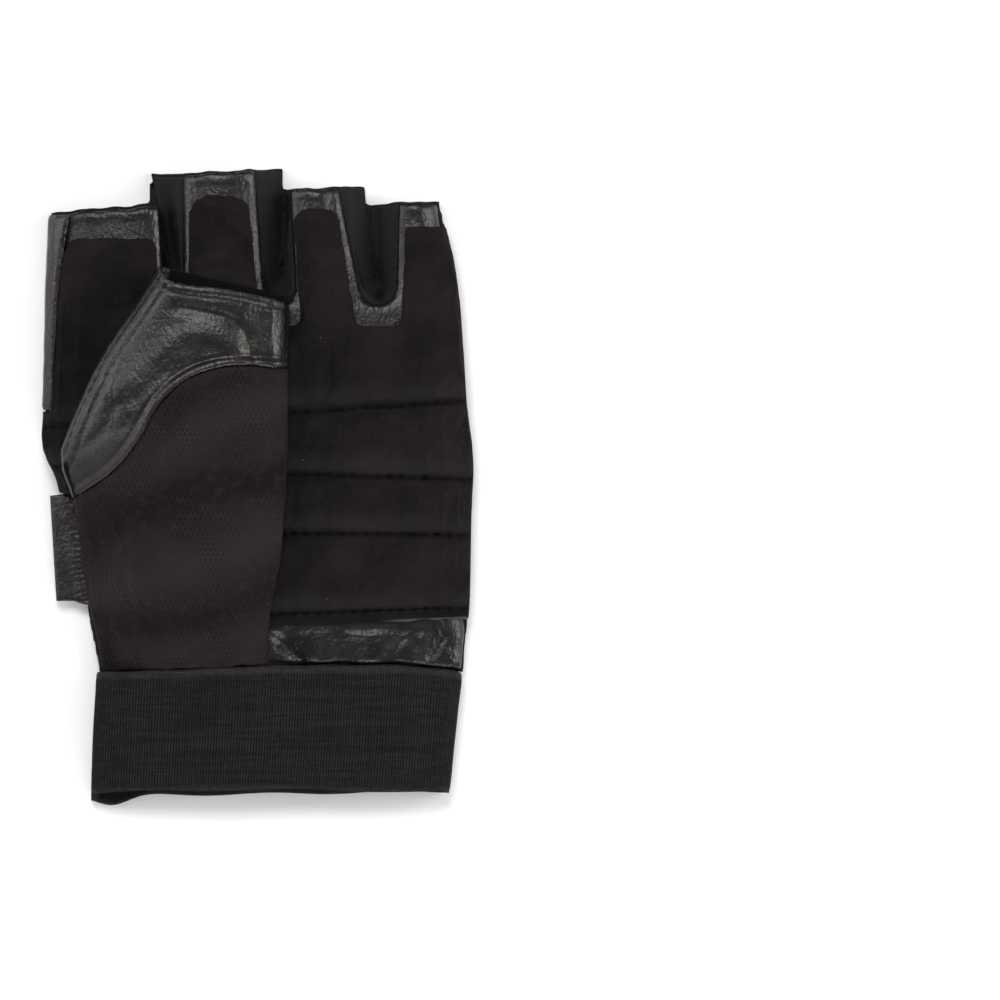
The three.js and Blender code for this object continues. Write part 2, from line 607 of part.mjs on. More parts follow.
// Back-of-hand fabric: flat where it lies, its rims turned up to the side seams
const CURL = [0, 0.3, 0.58, 0.8, 0.94, 1];
const CURL_WIDTH = 7;
const BACK_ROWS = [CUFF_TOP_Y, -40, -35, -29, -26, -14, -5, -1, 3, 8, 12, 19, 32, 47, 59, 70, HIGH_Y];
function backPanel() {
  const grid = BACK_ROWS.map((y) => {
    const left = hand.left(y) - backLeft.out(y), right = hand.right(y) + BACK_RIGHT_OUT;
    const high = hand.seam(y) - RIM_UNDER;
    const rim = (t, height) => height * (1 - Math.sqrt(1 - t * t));
    const leftRim = lerp(RIM_FLAT, high, backLeft.rim(y));
    return [
      ...[...CURL].reverse().map((t) => new THREE.Vector3(left + CURL_WIDTH * (1 - t), y, rim(t, leftRim))),
      ...CURL.map((t) => new THREE.Vector3(right - CURL_WIDTH * (1 - t), y, rim(t, high))),
    ];
  });
  let piece = wall(grid.map((row) => row.reverse()), BACK);
  const bounds = FORKS.map((f) => f.slit.tip);
  FINGERS.forEach((finger, k) => {
    const left = k ? bounds[k - 1] : -CLEAR, right = k < bounds.length ? bounds[k] : CLEAR;
    piece = piece.subtract(prism(tipShape(finger, left, right, BACK_LONGER)));
  });
  for (const fork of FORKS) piece = piece.subtract(prism(slitShape(fork)));
  return piece;
}

// A gusset between two stalls: from a notch edge down to the slit in the back, round the crotch and up again
const GUSSET_SIDE = [1, 0.72, 0.46, 0.22, 0];
const GUSSET_DOWN = [0, 0.35, 0.7, 1];
const GUSSET_TURN = [0.2, 0.4, 0.6, 0.8];
const GUSSET_SAG = 0.7; // how far a gusset's wall bows
const GUSSET_DROP = LEATHER + GAP + 0.25; // its upper edge hangs just under the leather
const GUSSET_FOOT = BACK + GAP;
function fourchette(fork) {
  const { left, right, footY } = fork;
  const slitX = (y) => {
    const [a, b, c] = slitLine(fork);
    return y < b.y ? lerp(a.x, b.x, (y - a.y) / (b.y - a.y)) : lerp(b.x, c.x, (y - b.y) / (c.y - b.y));
  };
  const stations = [];
  for (const t of GUSSET_SIDE) {
    const y = lerp(footY, left.end, t);
    stations.push({ x: lerp(left.foot, left.tip, t), y, side: -1, slitY: lerp(SLIT_FOOT_Y, left.end, t) });
  }
  const turn = notchFoot(fork);
  for (const t of GUSSET_TURN) {
    const p = turn.getPoint(t);
    const slitY = SLIT_FOOT_Y - SLIT_HALF * Math.sin(Math.PI * t);
    stations.push({ x: p.x, y: p.y, side: lerp(-1, 1, t), slitY });
  }
  for (const t of [...GUSSET_SIDE].reverse()) {
    const y = lerp(footY, right.end, t);
    stations.push({ x: lerp(right.foot, right.tip, t), y, side: 1, slitY: lerp(SLIT_FOOT_Y, right.end, t) });
  }
  const grid = GUSSET_DOWN.map((t) =>
    stations.map((s) => {
      const x = lerp(s.x, slitX(s.slitY) + s.side * SLIT_HALF, t);
      const bow = GUSSET_SAG * Math.sin(Math.PI * t) * Math.sign(s.side);
      const z = lerp(palmZ(s.x, s.y) - GUSSET_DROP, GUSSET_FOOT, t);
      return new THREE.Vector3(x + bow, lerp(s.y, s.slitY, t), z);
    }),
  );
  const underneath = prism(boxShape(-CLEAR, CLEAR, 0, 2 * CLEAR), -CLEAR, GUSSET_FOOT);
  return wall(grid, FABRIC).subtract(underneath);
}

// The thumb stall: one sheet from its outer edge over the top, round the fold and back over the palm
const FLOOR_U = 0.9; // nearer the hand's edge than this, the thumb doesn't follow the palm down
const FLOOR_SPARE = 0.15; // the thumb lies this much clear of the suede
const FLOOR_PRESS = 0.98; // and settles this share of the way up on its pads
const FLOOR_STEP = { from: -38.4, to: -36.7 }; // it rises here onto the suede's lower edge
const THUMB_SETTLE = 0.35; // share of its width over which the upper layer meets the outer edge
const THUMB_FLATNESS = 2.6;
const THUMB_TOP_COLUMNS = 15;
const THUMB_LOW_COLUMNS = 8;
const THUMB_ROWS = 20;
const THUMB_SEAM_OUT = 0.6; // the lower layer stops this far beside the palm's cut edge
function thumbFloor(x, y) {
  const left = hand.left(y), right = hand.right(y);
  const middle = (left + right) / 2, half = (right - left) / 2;
  const held = middle + THREE.MathUtils.clamp(x - middle, -FLOOR_U * half, FLOOR_U * half);
  const crown = hand.seam(y) + (hand.crown(y) - hand.seam(y)) * dome((held - middle) / half, HAND_FLATNESS);
  const covered = rising(y, FLOOR_STEP.from, FLOOR_STEP.to);
  return crown + covered * (OVERLAY + FLOOR_SPARE) + padAt(held, y) * FLOOR_PRESS + GAP;
}
// The pads under the thumb don't show through its upper layer, which lies over them evenly
const THUMB_PADDING = PAD * 0.85;
const thumbPadding = (y) => THUMB_PADDING * rising(y, -36, -24) * rising(y, TOP_PAD_END, 16);
function thumbSheet(thickness) {
  const hole = smoothLine(THUMB_HOLE, 60);
  const holeX = (y) => {
    const next = hole.findIndex((p) => p.y < y);
    return next < 1 ? -CLEAR : hole[next].x;
  };
  const eased = (t) => (1 - Math.cos(Math.PI * t)) / 2;
  const upper = Array.from({ length: THUMB_TOP_COLUMNS }, (_, i) => eased(i / (THUMB_TOP_COLUMNS - 1)));
  const lower = Array.from({ length: THUMB_LOW_COLUMNS }, (_, i) => 1 - (i + 1) / THUMB_LOW_COLUMNS);
  const sheetColumns = [
    ...upper.map((s) => ({ layer: "upper", s })),
    ...lower.map((s) => ({ layer: "lower", s })),
  ];
  const grid = [];
  for (let j = 0; j <= THUMB_ROWS; j++) {
    const v = j / THUMB_ROWS;
    grid.push(
      sheetColumns.map(({ layer, s }) => {
        const { upperLeft, upperDip, upperRight, lowerRight } = THUMB_RIM;
        const rim = layer === "upper"
          ? lerp(upperLeft, upperRight, s) - upperDip * Math.sin(Math.PI * Math.sqrt(s)) ** 2 * (1 - s)
          : lerp(upperLeft, lowerRight, s);
        const level = lerp(CUFF_TOP_Y, rim, v);
        const left = thumb.left(level), fold = thumb.fold(level);
        const lowLeft = Math.max(left + GAP, holeX(level) + THUMB_SEAM_OUT);
        const x = lerp(layer === "lower" ? lowLeft : left, fold, s);
        const y = atWrist(x, level);
        if (layer === "lower") return new THREE.Vector3(x, y, thumbFloor(x, y));
        const open = rising(y, THUMB_OPEN.start, THUMB_OPEN.end);
        const edge = lerp(thumbFloor(left, y) + thickness + GAP, thumbEdge.z(y), open);
        const base = lerp(edge, thumbFloor(x, y), smooth(s, 0, THUMB_SETTLE));
        const inside = dome(2 * s - 1, THUMB_FLATNESS);
        const filled = thumbPadding(y) - padAt(x, y) + thumb.rise(y) - dented(THUMB_DENTS, x, y);
        return new THREE.Vector3(x, y, base + filled * inside);
      }),
    );
  }
  return wall(grid, thickness);
}
const thumbLeather = () => thumbSheet(LEATHER).intersect(prism(capShape(1)));
const thumbMesh = () => thumbSheet(FABRIC).intersect(prism(capShape(-1)));

// A folded leather tab in the side seam, its fold outwards
function sideTab() {
  const { top, bottom, leftTop, leftBottom, inner, lift } = TAB_SHAPE;
  const half = TAB / 2, middle = lift + half;
  const section = (y) => {
    const left = lerp(leftBottom, leftTop, (y - bottom) / (top - bottom));
    const round = [90, 126, 162, 198, 234, 270].map((deg) => {
      const a = THREE.MathUtils.degToRad(deg);
      return new THREE.Vector3(left + half + half * Math.cos(a), y, middle + half * Math.sin(a));
    });
    const flat = [middle - half, middle + half].map((z) => new THREE.Vector3(inner, y, z));
    return [...round, ...flat];
  };
  const rings = [bottom, lerp(bottom, top, 0.5), top].map(section);
  const count = rings[0].length;
  const faces = [];
  for (let j = 0; j < rings.length - 1; j++)
    for (let i = 0; i < count; i++) {
      const a = j * count + i, b = j * count + ((i + 1) % count);
      faces.push(a, a + count, b, b, a + count, b + count);
    }
  for (let i = 1; i < count - 1; i++) {
    faces.push(0, i, i + 1);
    const top0 = (rings.length - 1) * count;
    faces.push(top0, top0 + i + 1, top0 + i);
  }
  return solid(rings.flat(), faces);
}

// The wrist elastic: a flattened ring, a little longer on its lower side
const CUFF_TOP_SPREAD = 20;
const CUFF_LOW_SPREAD = 12;
function wristCuff() {
  const start = CUFF_TOP_Y - GAP;
  const spread = (count, from, to) =>
    Array.from({ length: to - from + 1 }, (_, i) => Math.cos((Math.PI * (from + i)) / count));
  const upper = spread(CUFF_TOP_SPREAD, 0, CUFF_TOP_SPREAD).map((u) => ({ u, isUpper: true }));
  const lower = spread(CUFF_LOW_SPREAD, 1, CUFF_LOW_SPREAD - 1).map((u) => ({ u: -u, isUpper: false }));
  // Where the free end lies at a place u across the cuff, from -1 to 1
  const endAt = (u, isUpper) => {
    if (Math.abs(u) > 0.999) return (CUFF_END.upper + CUFF_END.lower) / 2;
    if (isUpper) return CUFF_END.upper + CUFF_END.bow * (1 - u * u);
    const x = lerp(cuff.left(start), cuff.right(start), (u + 1) / 2);
    const tongue = CUFF_TONGUE.length * Math.exp(-(((x - CUFF_TONGUE.x) / CUFF_TONGUE.width) ** 2));
    return CUFF_END.lower - tongue + CUFF_END.rise * rising(u, -0.5, 1);
  };
  const point = (v, { u, isUpper }) => {
    const level = lerp(start, endAt(u, isUpper), v);
    const x = lerp(cuff.left(level), cuff.right(level), (u + 1) / 2);
    const follow = isUpper ? rising(Math.abs(u), 1, CUFF_SIDE) : 0;
    const y = level + wristRise(x) * follow * (1 - v);
    const seam = cuff.seam(y);
    const top = lerp(cuff.high(y), cuff.low(y), smooth(x, CUFF_SHARE.from, CUFF_SHARE.to));
    const upperZ = seam + (top - seam) * dome(u, CUFF_TOP_FLATNESS);
    return new THREE.Vector3(x, y, isUpper ? upperZ : seam * (1 - dome(u, CUFF_LOW_FLATNESS)));
  };
  const grid = CUFF_ROWS.map((v) => [...upper, ...lower].map((place) => point(v, place)));
  return wall(grid, ELASTIC, true);
}

// Colours and finishes
const leatherFinish = { color: 0x2b2a29, roughness: 0.42, metalness: 0 };
const suedeFinish = { color: 0x1f1c1d, roughness: 0.95, metalness: 0 };
const meshFinish = { color: 0x2a2324, roughness: 0.85, metalness: 0 };
const stretchFinish = { color: 0x1d1c1f, roughness: 0.8, metalness: 0 };
const elasticFinish = { color: 0x242325, roughness: 0.8, metalness: 0 };

function meshOf(piece, name, finish) {
  const { vertProperties, numProp, numVert, triVerts } = piece.getMesh();
  const position = new Float32Array(numVert * 3);
  for (let i = 0; i < numVert; i++) {
    const from = i * numProp;
    position.set(vertProperties.subarray(from, from + 3), i * 3);
  }
  const geometry = new THREE.BufferGeometry();
  geometry.setAttribute("position", new THREE.BufferAttribute(position, 3));
  geometry.setIndex(new THREE.BufferAttribute(triVerts, 1));
  geometry.computeVertexNormals();
  const mesh = new THREE.Mesh(geometry, new THREE.MeshStandardMaterial(finish));
  mesh.name = name;
  return mesh;
}

const glove = new THREE.Group();
glove.add(meshOf(palmLeather(), "palm_leather", leatherFinish));
glove.add(meshOf(palmSuede(), "palm_suede", suedeFinish));
glove.add(meshOf(indexSideStrip(), "index_side_strip", leatherFinish));
glove.add(meshOf(backPanel(), "back_panel", stretchFinish));
for (const fork of FORKS) glove.add(meshOf(fourchette(fork), "fourchette_" + fork.name, stretchFinish));
glove.add(meshOf(thumbLeather(), "thumb_leather", leatherFinish));
glove.add(meshOf(thumbMesh(), "thumb_mesh", meshFinish));
glove.add(meshOf(sideTab(), "side_tab", leatherFinish));
glove.add(meshOf(wristCuff(), "wrist_cuff", elasticFinish));

export default glove;
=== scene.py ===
"""A half-finger weightlifting glove, laid on the back of its hand with the thumb folded over the palm."""
import math
import bmesh
import bpy
import numpy as np
from mathutils import Matrix, Vector, noise
from mathutils.bvhtree import BVHTree
from mathutils.kdtree import KDTree


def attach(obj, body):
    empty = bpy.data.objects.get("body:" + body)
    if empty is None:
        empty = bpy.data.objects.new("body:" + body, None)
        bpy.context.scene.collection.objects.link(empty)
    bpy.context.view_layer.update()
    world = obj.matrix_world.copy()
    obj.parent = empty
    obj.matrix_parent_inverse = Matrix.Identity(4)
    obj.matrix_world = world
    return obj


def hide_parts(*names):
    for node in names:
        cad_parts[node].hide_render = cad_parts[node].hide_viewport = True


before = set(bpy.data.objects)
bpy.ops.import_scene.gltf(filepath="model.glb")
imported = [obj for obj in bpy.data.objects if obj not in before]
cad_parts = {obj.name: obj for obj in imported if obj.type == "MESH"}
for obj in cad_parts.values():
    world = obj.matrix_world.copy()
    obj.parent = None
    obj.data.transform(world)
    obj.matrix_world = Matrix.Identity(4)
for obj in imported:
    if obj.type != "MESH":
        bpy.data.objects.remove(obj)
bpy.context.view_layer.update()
MM = 0.001
ON_FLOOR = 0.02  # the lowest that a shaped point may lie

# Seams and rows of stitches, in millimetres on the plan of the glove

CHANNELS = [(18.2, 0.062), (3.3, -0.028), (-11.8, -0.008)]  # height at the middle, slope across the palm
HEM = (-32.4, 0.036)
# Short rows across the finger stalls: left and right end, and height
STALL_SEAMS = [((-43.0, -29.5), 62.6), ((9.5, 21.5), 65.7), ((36.0, 47.0), 61.9)]
# Lines on the thumb stall: where the cap ends on the knit, its long seam, and its mouth
CAP_EDGE = [
    (8.0, 29.7), (-6.7, 30.2), (-16.7, 27.2), (-24.2, 20.5), (-29.2, 11.8), (-35.5, 4.2), (-45.5, -2.6),
]
THUMB_SEAM = [
    (-24.4, 54.0), (-29.2, 47.0), (-34.4, 39.5), (-39.5, 31.5), (-45.3, 19.0), (-48.0, 12.0), (-49.2, 8.0),
]
THUMB_MOUTH = [(-23.6, 53.6), (-19.5, 50.2), (-13.0, 47.9), (-5.5, 46.6), (1.5, 46.0), (7.0, 45.8)]
CUFF_TOP_Y = -46.4
WRIST_SEAM = (-46.2, -44.4, -45.9)  # its height on the plan at the left, over the middle and at the right

# Folds and dents: points on the plan, width, and height above or below the cloth around them
CAP_FOLDS = [
    ([(-19.0, 44.6), (-12.0, 43.4), (-6.0, 41.6), (-2.6, 38.0), (-0.8, 31.5)], 1.5, -0.65),
    ([(-16.0, 38.5), (-9.0, 37.5), (-5.2, 34.0)], 2.6, 0.45),
    ([(4.4, 44.5), (4.2, 38.0), (4.6, 31.0)], 1.5, 0.45),
    ([(-34.0, 24.5), (-27.0, 31.0), (-21.0, 36.0)], 2.4, 0.35),
    ([(-44.0, 9.0), (-38.0, 14.0), (-35.0, 20.0)], 1.6, -0.35),
    ([(-30.0, 21.5), (-23.5, 27.0), (-15.0, 31.5)], 1.8, -0.30),
]
HEEL_FOLDS = [
    ([(3.6, -36.4), (7.5, -40.0), (11.5, -44.0)], 1.1, -0.75),
    ([(5.0, -41.2), (7.6, -44.2)], 0.9, 0.40),
    ([(38.6, -34.6), (35.4, -38.8), (31.6, -44.4)], 1.4, -0.75),
    ([(19.8, -36.8), (18.0, -39.0), (16.6, -42.4)], 1.2, -0.40),
    ([(50.0, -33.6), (47.0, -36.8), (43.6, -43.0)], 1.0, -0.45),
    ([(23.0, -35.6), (27.0, -37.0), (30.0, -36.6)], 1.6, 0.45),
    ([(41.5, -38.0), (40.0, -41.5)], 1.8, 0.45),
]
PAD_FOLDS = [
    ([(10.0, -25.0), (15.5, -18.5), (22.0, -15.0)], 2.6, 0.55),
    ([(9.0, 35.0), (11.0, 20.0)], 2.4, -0.3),
]
KNIT_FOLDS = [
    ([(-41.0, -12.0), (-30.0, -6.0), (-15.0, -0.5), (6.0, 2.5)], 4.6, -1.05),
    ([(-34.0, 3.0), (-22.0, 11.0), (-8.0, 17.5), (5.0, 22.0)], 5.2, 0.85),
    ([(-38.0, -26.0), (-28.0, -23.0), (-12.0, -18.0), (5.0, -11.0)], 5.0, 0.95),
    ([(-37.0, -34.0), (-22.0, -34.5), (-8.0, -31.0), (3.0, -26.0)], 4.0, -0.80),
    ([(-34.0, -42.5), (-20.0, -41.0), (0.0, -38.0)], 3.4, 0.45),
]

TAB_BEND = [(-48.0, -2.0), (-42.6, -28.6)]  # where the tab bends up into the side seam

STITCH_PITCH = 3.0
STITCH_LENGTH = 2.3
THREAD = 0.42  # thickness

# Shaping cloth: all sizes below are millimetres, and a piece's points are handled as arrays


def ease(value, low, high):
    """0 below low, 1 above high, and a smooth rise between them."""
    t = np.clip((value - low) / (high - low), 0.0, 1.0)
    return t * t * (3.0 - 2.0 * t)


def ridge(distance, width):
    """A soft ridge, 1 on its line and next to nothing two widths away."""
    return np.exp(-((distance / width) ** 2))


def lumps(at, size, seed, stretch=(1.0, 1.0, 1.0)):
    """Smooth random lumps about as wide as size, from -1 to 1."""
    scaled = at * np.array(stretch) / size + seed * 17.3
    return np.array([noise.noise(Vector(p)) for p in scaled])


def creases(at, size, seed, stretch=(1.0, 1.0, 1.0)):
    """Narrow random crease lines, 1 on a line and 0 between them."""
    return np.clip(1.0 - 4.0 * np.abs(lumps(at, size, seed, stretch)), 0.0, 1.0) ** 1.5


def curve_through(points, steps=40):
    """Evenly spaced points on a smooth line through a few plan points."""
    points = np.array(points, float)
    ends = np.vstack([2 * points[0] - points[1], points, 2 * points[-1] - points[-2]])
    line = []
    for a, b, c, d in zip(ends, ends[1:], ends[2:], ends[3:]):
        for t in np.linspace(0, 1, steps, endpoint=False):
            bend, twist = 2 * a - 5 * b + 4 * c - d, 3 * b - a - 3 * c + d
            line.append(0.5 * (2 * b + (c - a) * t + bend * t**2 + twist * t**3))
    line.append(points[-1])
    line = np.array(line)
    run = np.concatenate([[0], np.cumsum(np.linalg.norm(np.diff(line, axis=0), axis=1))])
    spots = np.linspace(0, run[-1], steps)
    return np.column_stack([np.interp(spots, run, line[:, k]) for k in range(line.shape[1])])


def folded(at, folds):
    """How high a few folds and dents stand at each point."""
    return sum(rise * ridge(away_from(curve_through(points), at)[0], width) for points, width, rise in folds)


def away_from(line, at):
    """Each point's plan distance to a line, which side it is on, and how far along the line it is."""
    best = np.full(len(at), 1e9)
    side = np.ones(len(at))
    along = np.zeros(len(at))
    run = 0.0
    for a, b in zip(line, line[1:]):
        step = b - a
        length = np.hypot(*step)
        to = at[:, :2] - a
        t = np.clip(to @ step / length**2, 0, 1)
        gap = np.hypot(*(to - t[:, None] * step).T)
        nearer = gap < best
        best[nearer] = gap[nearer]
        side[nearer] = np.sign(step[0] * to[:, 1] - step[1] * to[:, 0])[nearer]
        along[nearer] = run + (t * length)[nearer]
        run += length
    return best, side, along


# Objects


def only(piece):
    bpy.ops.object.select_all(action="DESELECT")
    piece.select_set(True)
    bpy.context.view_layer.objects.active = piece


def apply_modifier(piece, kind, **settings):
    only(piece)
    modifier = piece.modifiers.new(kind.lower(), kind)
    for name, value in settings.items():
        setattr(modifier, name, value)
    bpy.ops.object.modifier_apply(modifier=modifier.name)


def wrist_seam(x):
    """Where the seam between the hand and the cuff lies, across the palm."""
    left, high, right = WRIST_SEAM
    return high + (left - high) * ease(-x, -15, 45) + (right - high) * ease(x, 34, 52)


def cut_from(node, name, grain):
    """A finely meshed copy of a cut wall of the glove, ready to be shaped."""
    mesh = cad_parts[node].data.copy()
    mesh.materials.clear()
    piece = bpy.data.objects.new(name, mesh)
    bpy.context.scene.collection.objects.link(piece)
    only(piece)
    bpy.ops.object.mode_set(mode="EDIT")
    bpy.ops.mesh.select_all(action="SELECT")
    bpy.ops.mesh.remove_doubles(threshold=0.01 * MM)
    bpy.ops.object.mode_set(mode="OBJECT")
    edges = cut_edges(piece)
    mesh.remesh_voxel_size = grain * MM
    mesh.remesh_voxel_adaptivity = 0.0
    bpy.ops.object.voxel_remesh()
    return piece, edges


def cut_edges(piece, sharp=math.radians(50)):
    """Closely spaced points along a wall's cut edges, for measuring from them."""
    work = bmesh.new()
    work.from_mesh(piece.data)
    spots = []
    for edge in work.edges:
        if len(edge.link_faces) == 2 and edge.calc_face_angle(0) > sharp:
            a, b = (v.co / MM for v in edge.verts)
            count = max(1, math.ceil((b - a).length / 0.5))
            spots += [a.lerp(b, k / count) for k in range(count)]
    work.free()
    tree = KDTree(len(spots))
    for k, spot in enumerate(spots):
        tree.insert(spot, k)
    tree.balance()
    return tree


class Wall:
    """The points of a meshed piece: where they are, how they face and how far they are from a cut edge."""

    def __init__(self, piece, edges=None):
        self.piece = piece
        vertices = piece.data.vertices
        self.at = self.read(vertices, "co") / MM
        self.facing = self.read(vertices, "normal")
        self.edge = np.array([edges.find(p)[2] for p in self.at]) if edges else None
        self.up = ease(self.facing[:, 2], 0.15, 0.6)

    def read(self, vertices, what):
        values = np.empty(len(vertices) * 3, np.float32)
        vertices.foreach_get(what, values)
        return values.reshape(-1, 3).astype(float)

    def push(self, height):
        """Moves the points out along their facing by a height each."""
        self.at = self.at + self.facing * np.asarray(height)[:, None]

    def keep(self):
        self.piece.data.vertices.foreach_set("co", (self.at * MM).astype(np.float32).ravel())
        self.piece.data.update()

    def wave_ends(self):
        """Lets the cut finger ends run a little uneven. Every layer follows the same line."""
        plan = np.column_stack([self.at[:, 0], np.zeros((len(self.at), 2))])
        drift = 0.55 * lumps(plan, 5.5, 21) + 0.25 * lumps(plan, 2.2, 22)
        self.at[:, 1] += drift * ease(self.at[:, 1], 63.0, 68.0)

    def note(self, name, values):
        """Keeps a number for each point, for the finish to read."""
        mark = self.piece.data.attributes.new(name, "FLOAT", "POINT")
        mark.data.foreach_set("value", np.asarray(values, np.float32))

    def noted(self, name):
        """The numbers that were kept for the points under a name."""
        values = np.empty(len(self.at), np.float32)
        self.piece.data.attributes[name].data.foreach_get("value", values)
        return values

    def note_place(self, name, across, along):
        """Keeps where each point lies on the flat cloth, for a weave that follows the surface."""
        mark = self.piece.data.attributes.new(name, "FLOAT_VECTOR", "POINT")
        flat = np.column_stack([across, along, np.zeros(len(across))]) * MM
        mark.data.foreach_set("vector", flat.astype(np.float32).ravel())


def soften(piece, rounds, hold=None):
    """Smooths the facets out of a wall, leaving its cut edges where they are."""
    wall = Wall(piece)
    group = piece.vertex_groups.new(name="face")
    weights = ease(np.abs(wall.facing[:, 2]), 0.15, 0.6) if hold is None else hold(wall)
    for level in range(1, 11):
        chosen = np.nonzero(np.round(weights * 10) == level)[0]
        group.add(chosen.tolist(), level / 10, "REPLACE")
    apply_modifier(piece, "SMOOTH", factor=0.5, iterations=rounds, vertex_group="face")
    piece.vertex_groups.clear()


PUFF_STEPS = 20


def puffed(piece, held, slack, most):
    """Fills a sewn pad: it swells between the points that are held, and no point moves further than most."""
    wall = Wall(piece)
    start = wall.at.copy()
    group = piece.vertex_groups.new(name="sewn")
    group.add(np.nonzero(held)[0].tolist(), 1.0, "REPLACE")
    only(piece)
    cloth = piece.modifiers.new("filling", "CLOTH")
    cloth.settings.quality = 6
    cloth.settings.mass = 0.3
    cloth.settings.tension_stiffness = 12.0
    cloth.settings.compression_stiffness = 12.0
    cloth.settings.bending_stiffness = 0.2
    cloth.settings.use_pressure = True
    cloth.settings.uniform_pressure_force = 4.0
    cloth.settings.shrink_min = -slack
    cloth.settings.vertex_group_mass = "sewn"
    cloth.settings.effector_weights.gravity = 0.0
    cloth.point_cache.frame_start = 1
    cloth.point_cache.frame_end = PUFF_STEPS
    for step in range(1, PUFF_STEPS + 1):
        bpy.context.scene.frame_set(step)
    bpy.ops.object.modifier_apply(modifier=cloth.name)
    bpy.context.scene.frame_set(1)
    piece.vertex_groups.clear()
    wall = Wall(piece)
    moved = wall.at - start
    far = np.linalg.norm(moved, axis=1)
    wall.at = start + moved * (np.tanh(far / most) * most / np.maximum(far, 1e-9))[:, None]
    wall.keep()


def finish_piece(piece, material, slot, *nodes):
    """Gives a piece its finish, hides the model's parts that it stands for and makes it part of the glove."""
    piece.data.materials.clear()
    piece.data.materials.append(material)
    piece.data.polygons.foreach_set("use_smooth", [True] * len(piece.data.polygons))
    if nodes:
        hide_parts(*nodes)
    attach(piece, "root")
    return piece


def as_cut(piece, area=None):
    """Returns the piece unchanged; how large the piece was cut, in millimetres, is taken but not used."""
    area = None if area is None else area * MM * MM
    return piece


# Finishes


class Value:
    """A shader number, so that maths on it is written as Python."""

    def __init__(self, finish, socket):
        self.finish = finish
        self.socket = socket

    def math(self, operation, *others, swap=False):
        values = [self, *others][:: -1 if swap else 1]
        return self.finish.node("Math", {"operation": operation}, dict(enumerate(values)))

    def __add__(self, other):
        return self.math("ADD", other)

    def __sub__(self, other):
        return self.math("SUBTRACT", other)

    def __rsub__(self, other):
        return self.math("SUBTRACT", other, swap=True)

    def __mul__(self, other):
        return self.math("MULTIPLY", other)

    __radd__ = __add__
    __rmul__ = __mul__

    def sine(self):
        return self.math("SINE")

    def cosine(self):
        return self.math("COSINE")

    def rise(self, low, high):
        """0 below low, 1 above high, and a smooth rise between them."""
        settings = {"interpolation_type": "SMOOTHSTEP"}
        inputs = {"Value": self, "From Min": low, "From Max": high}
        return self.finish.node("MapRange", settings, inputs)


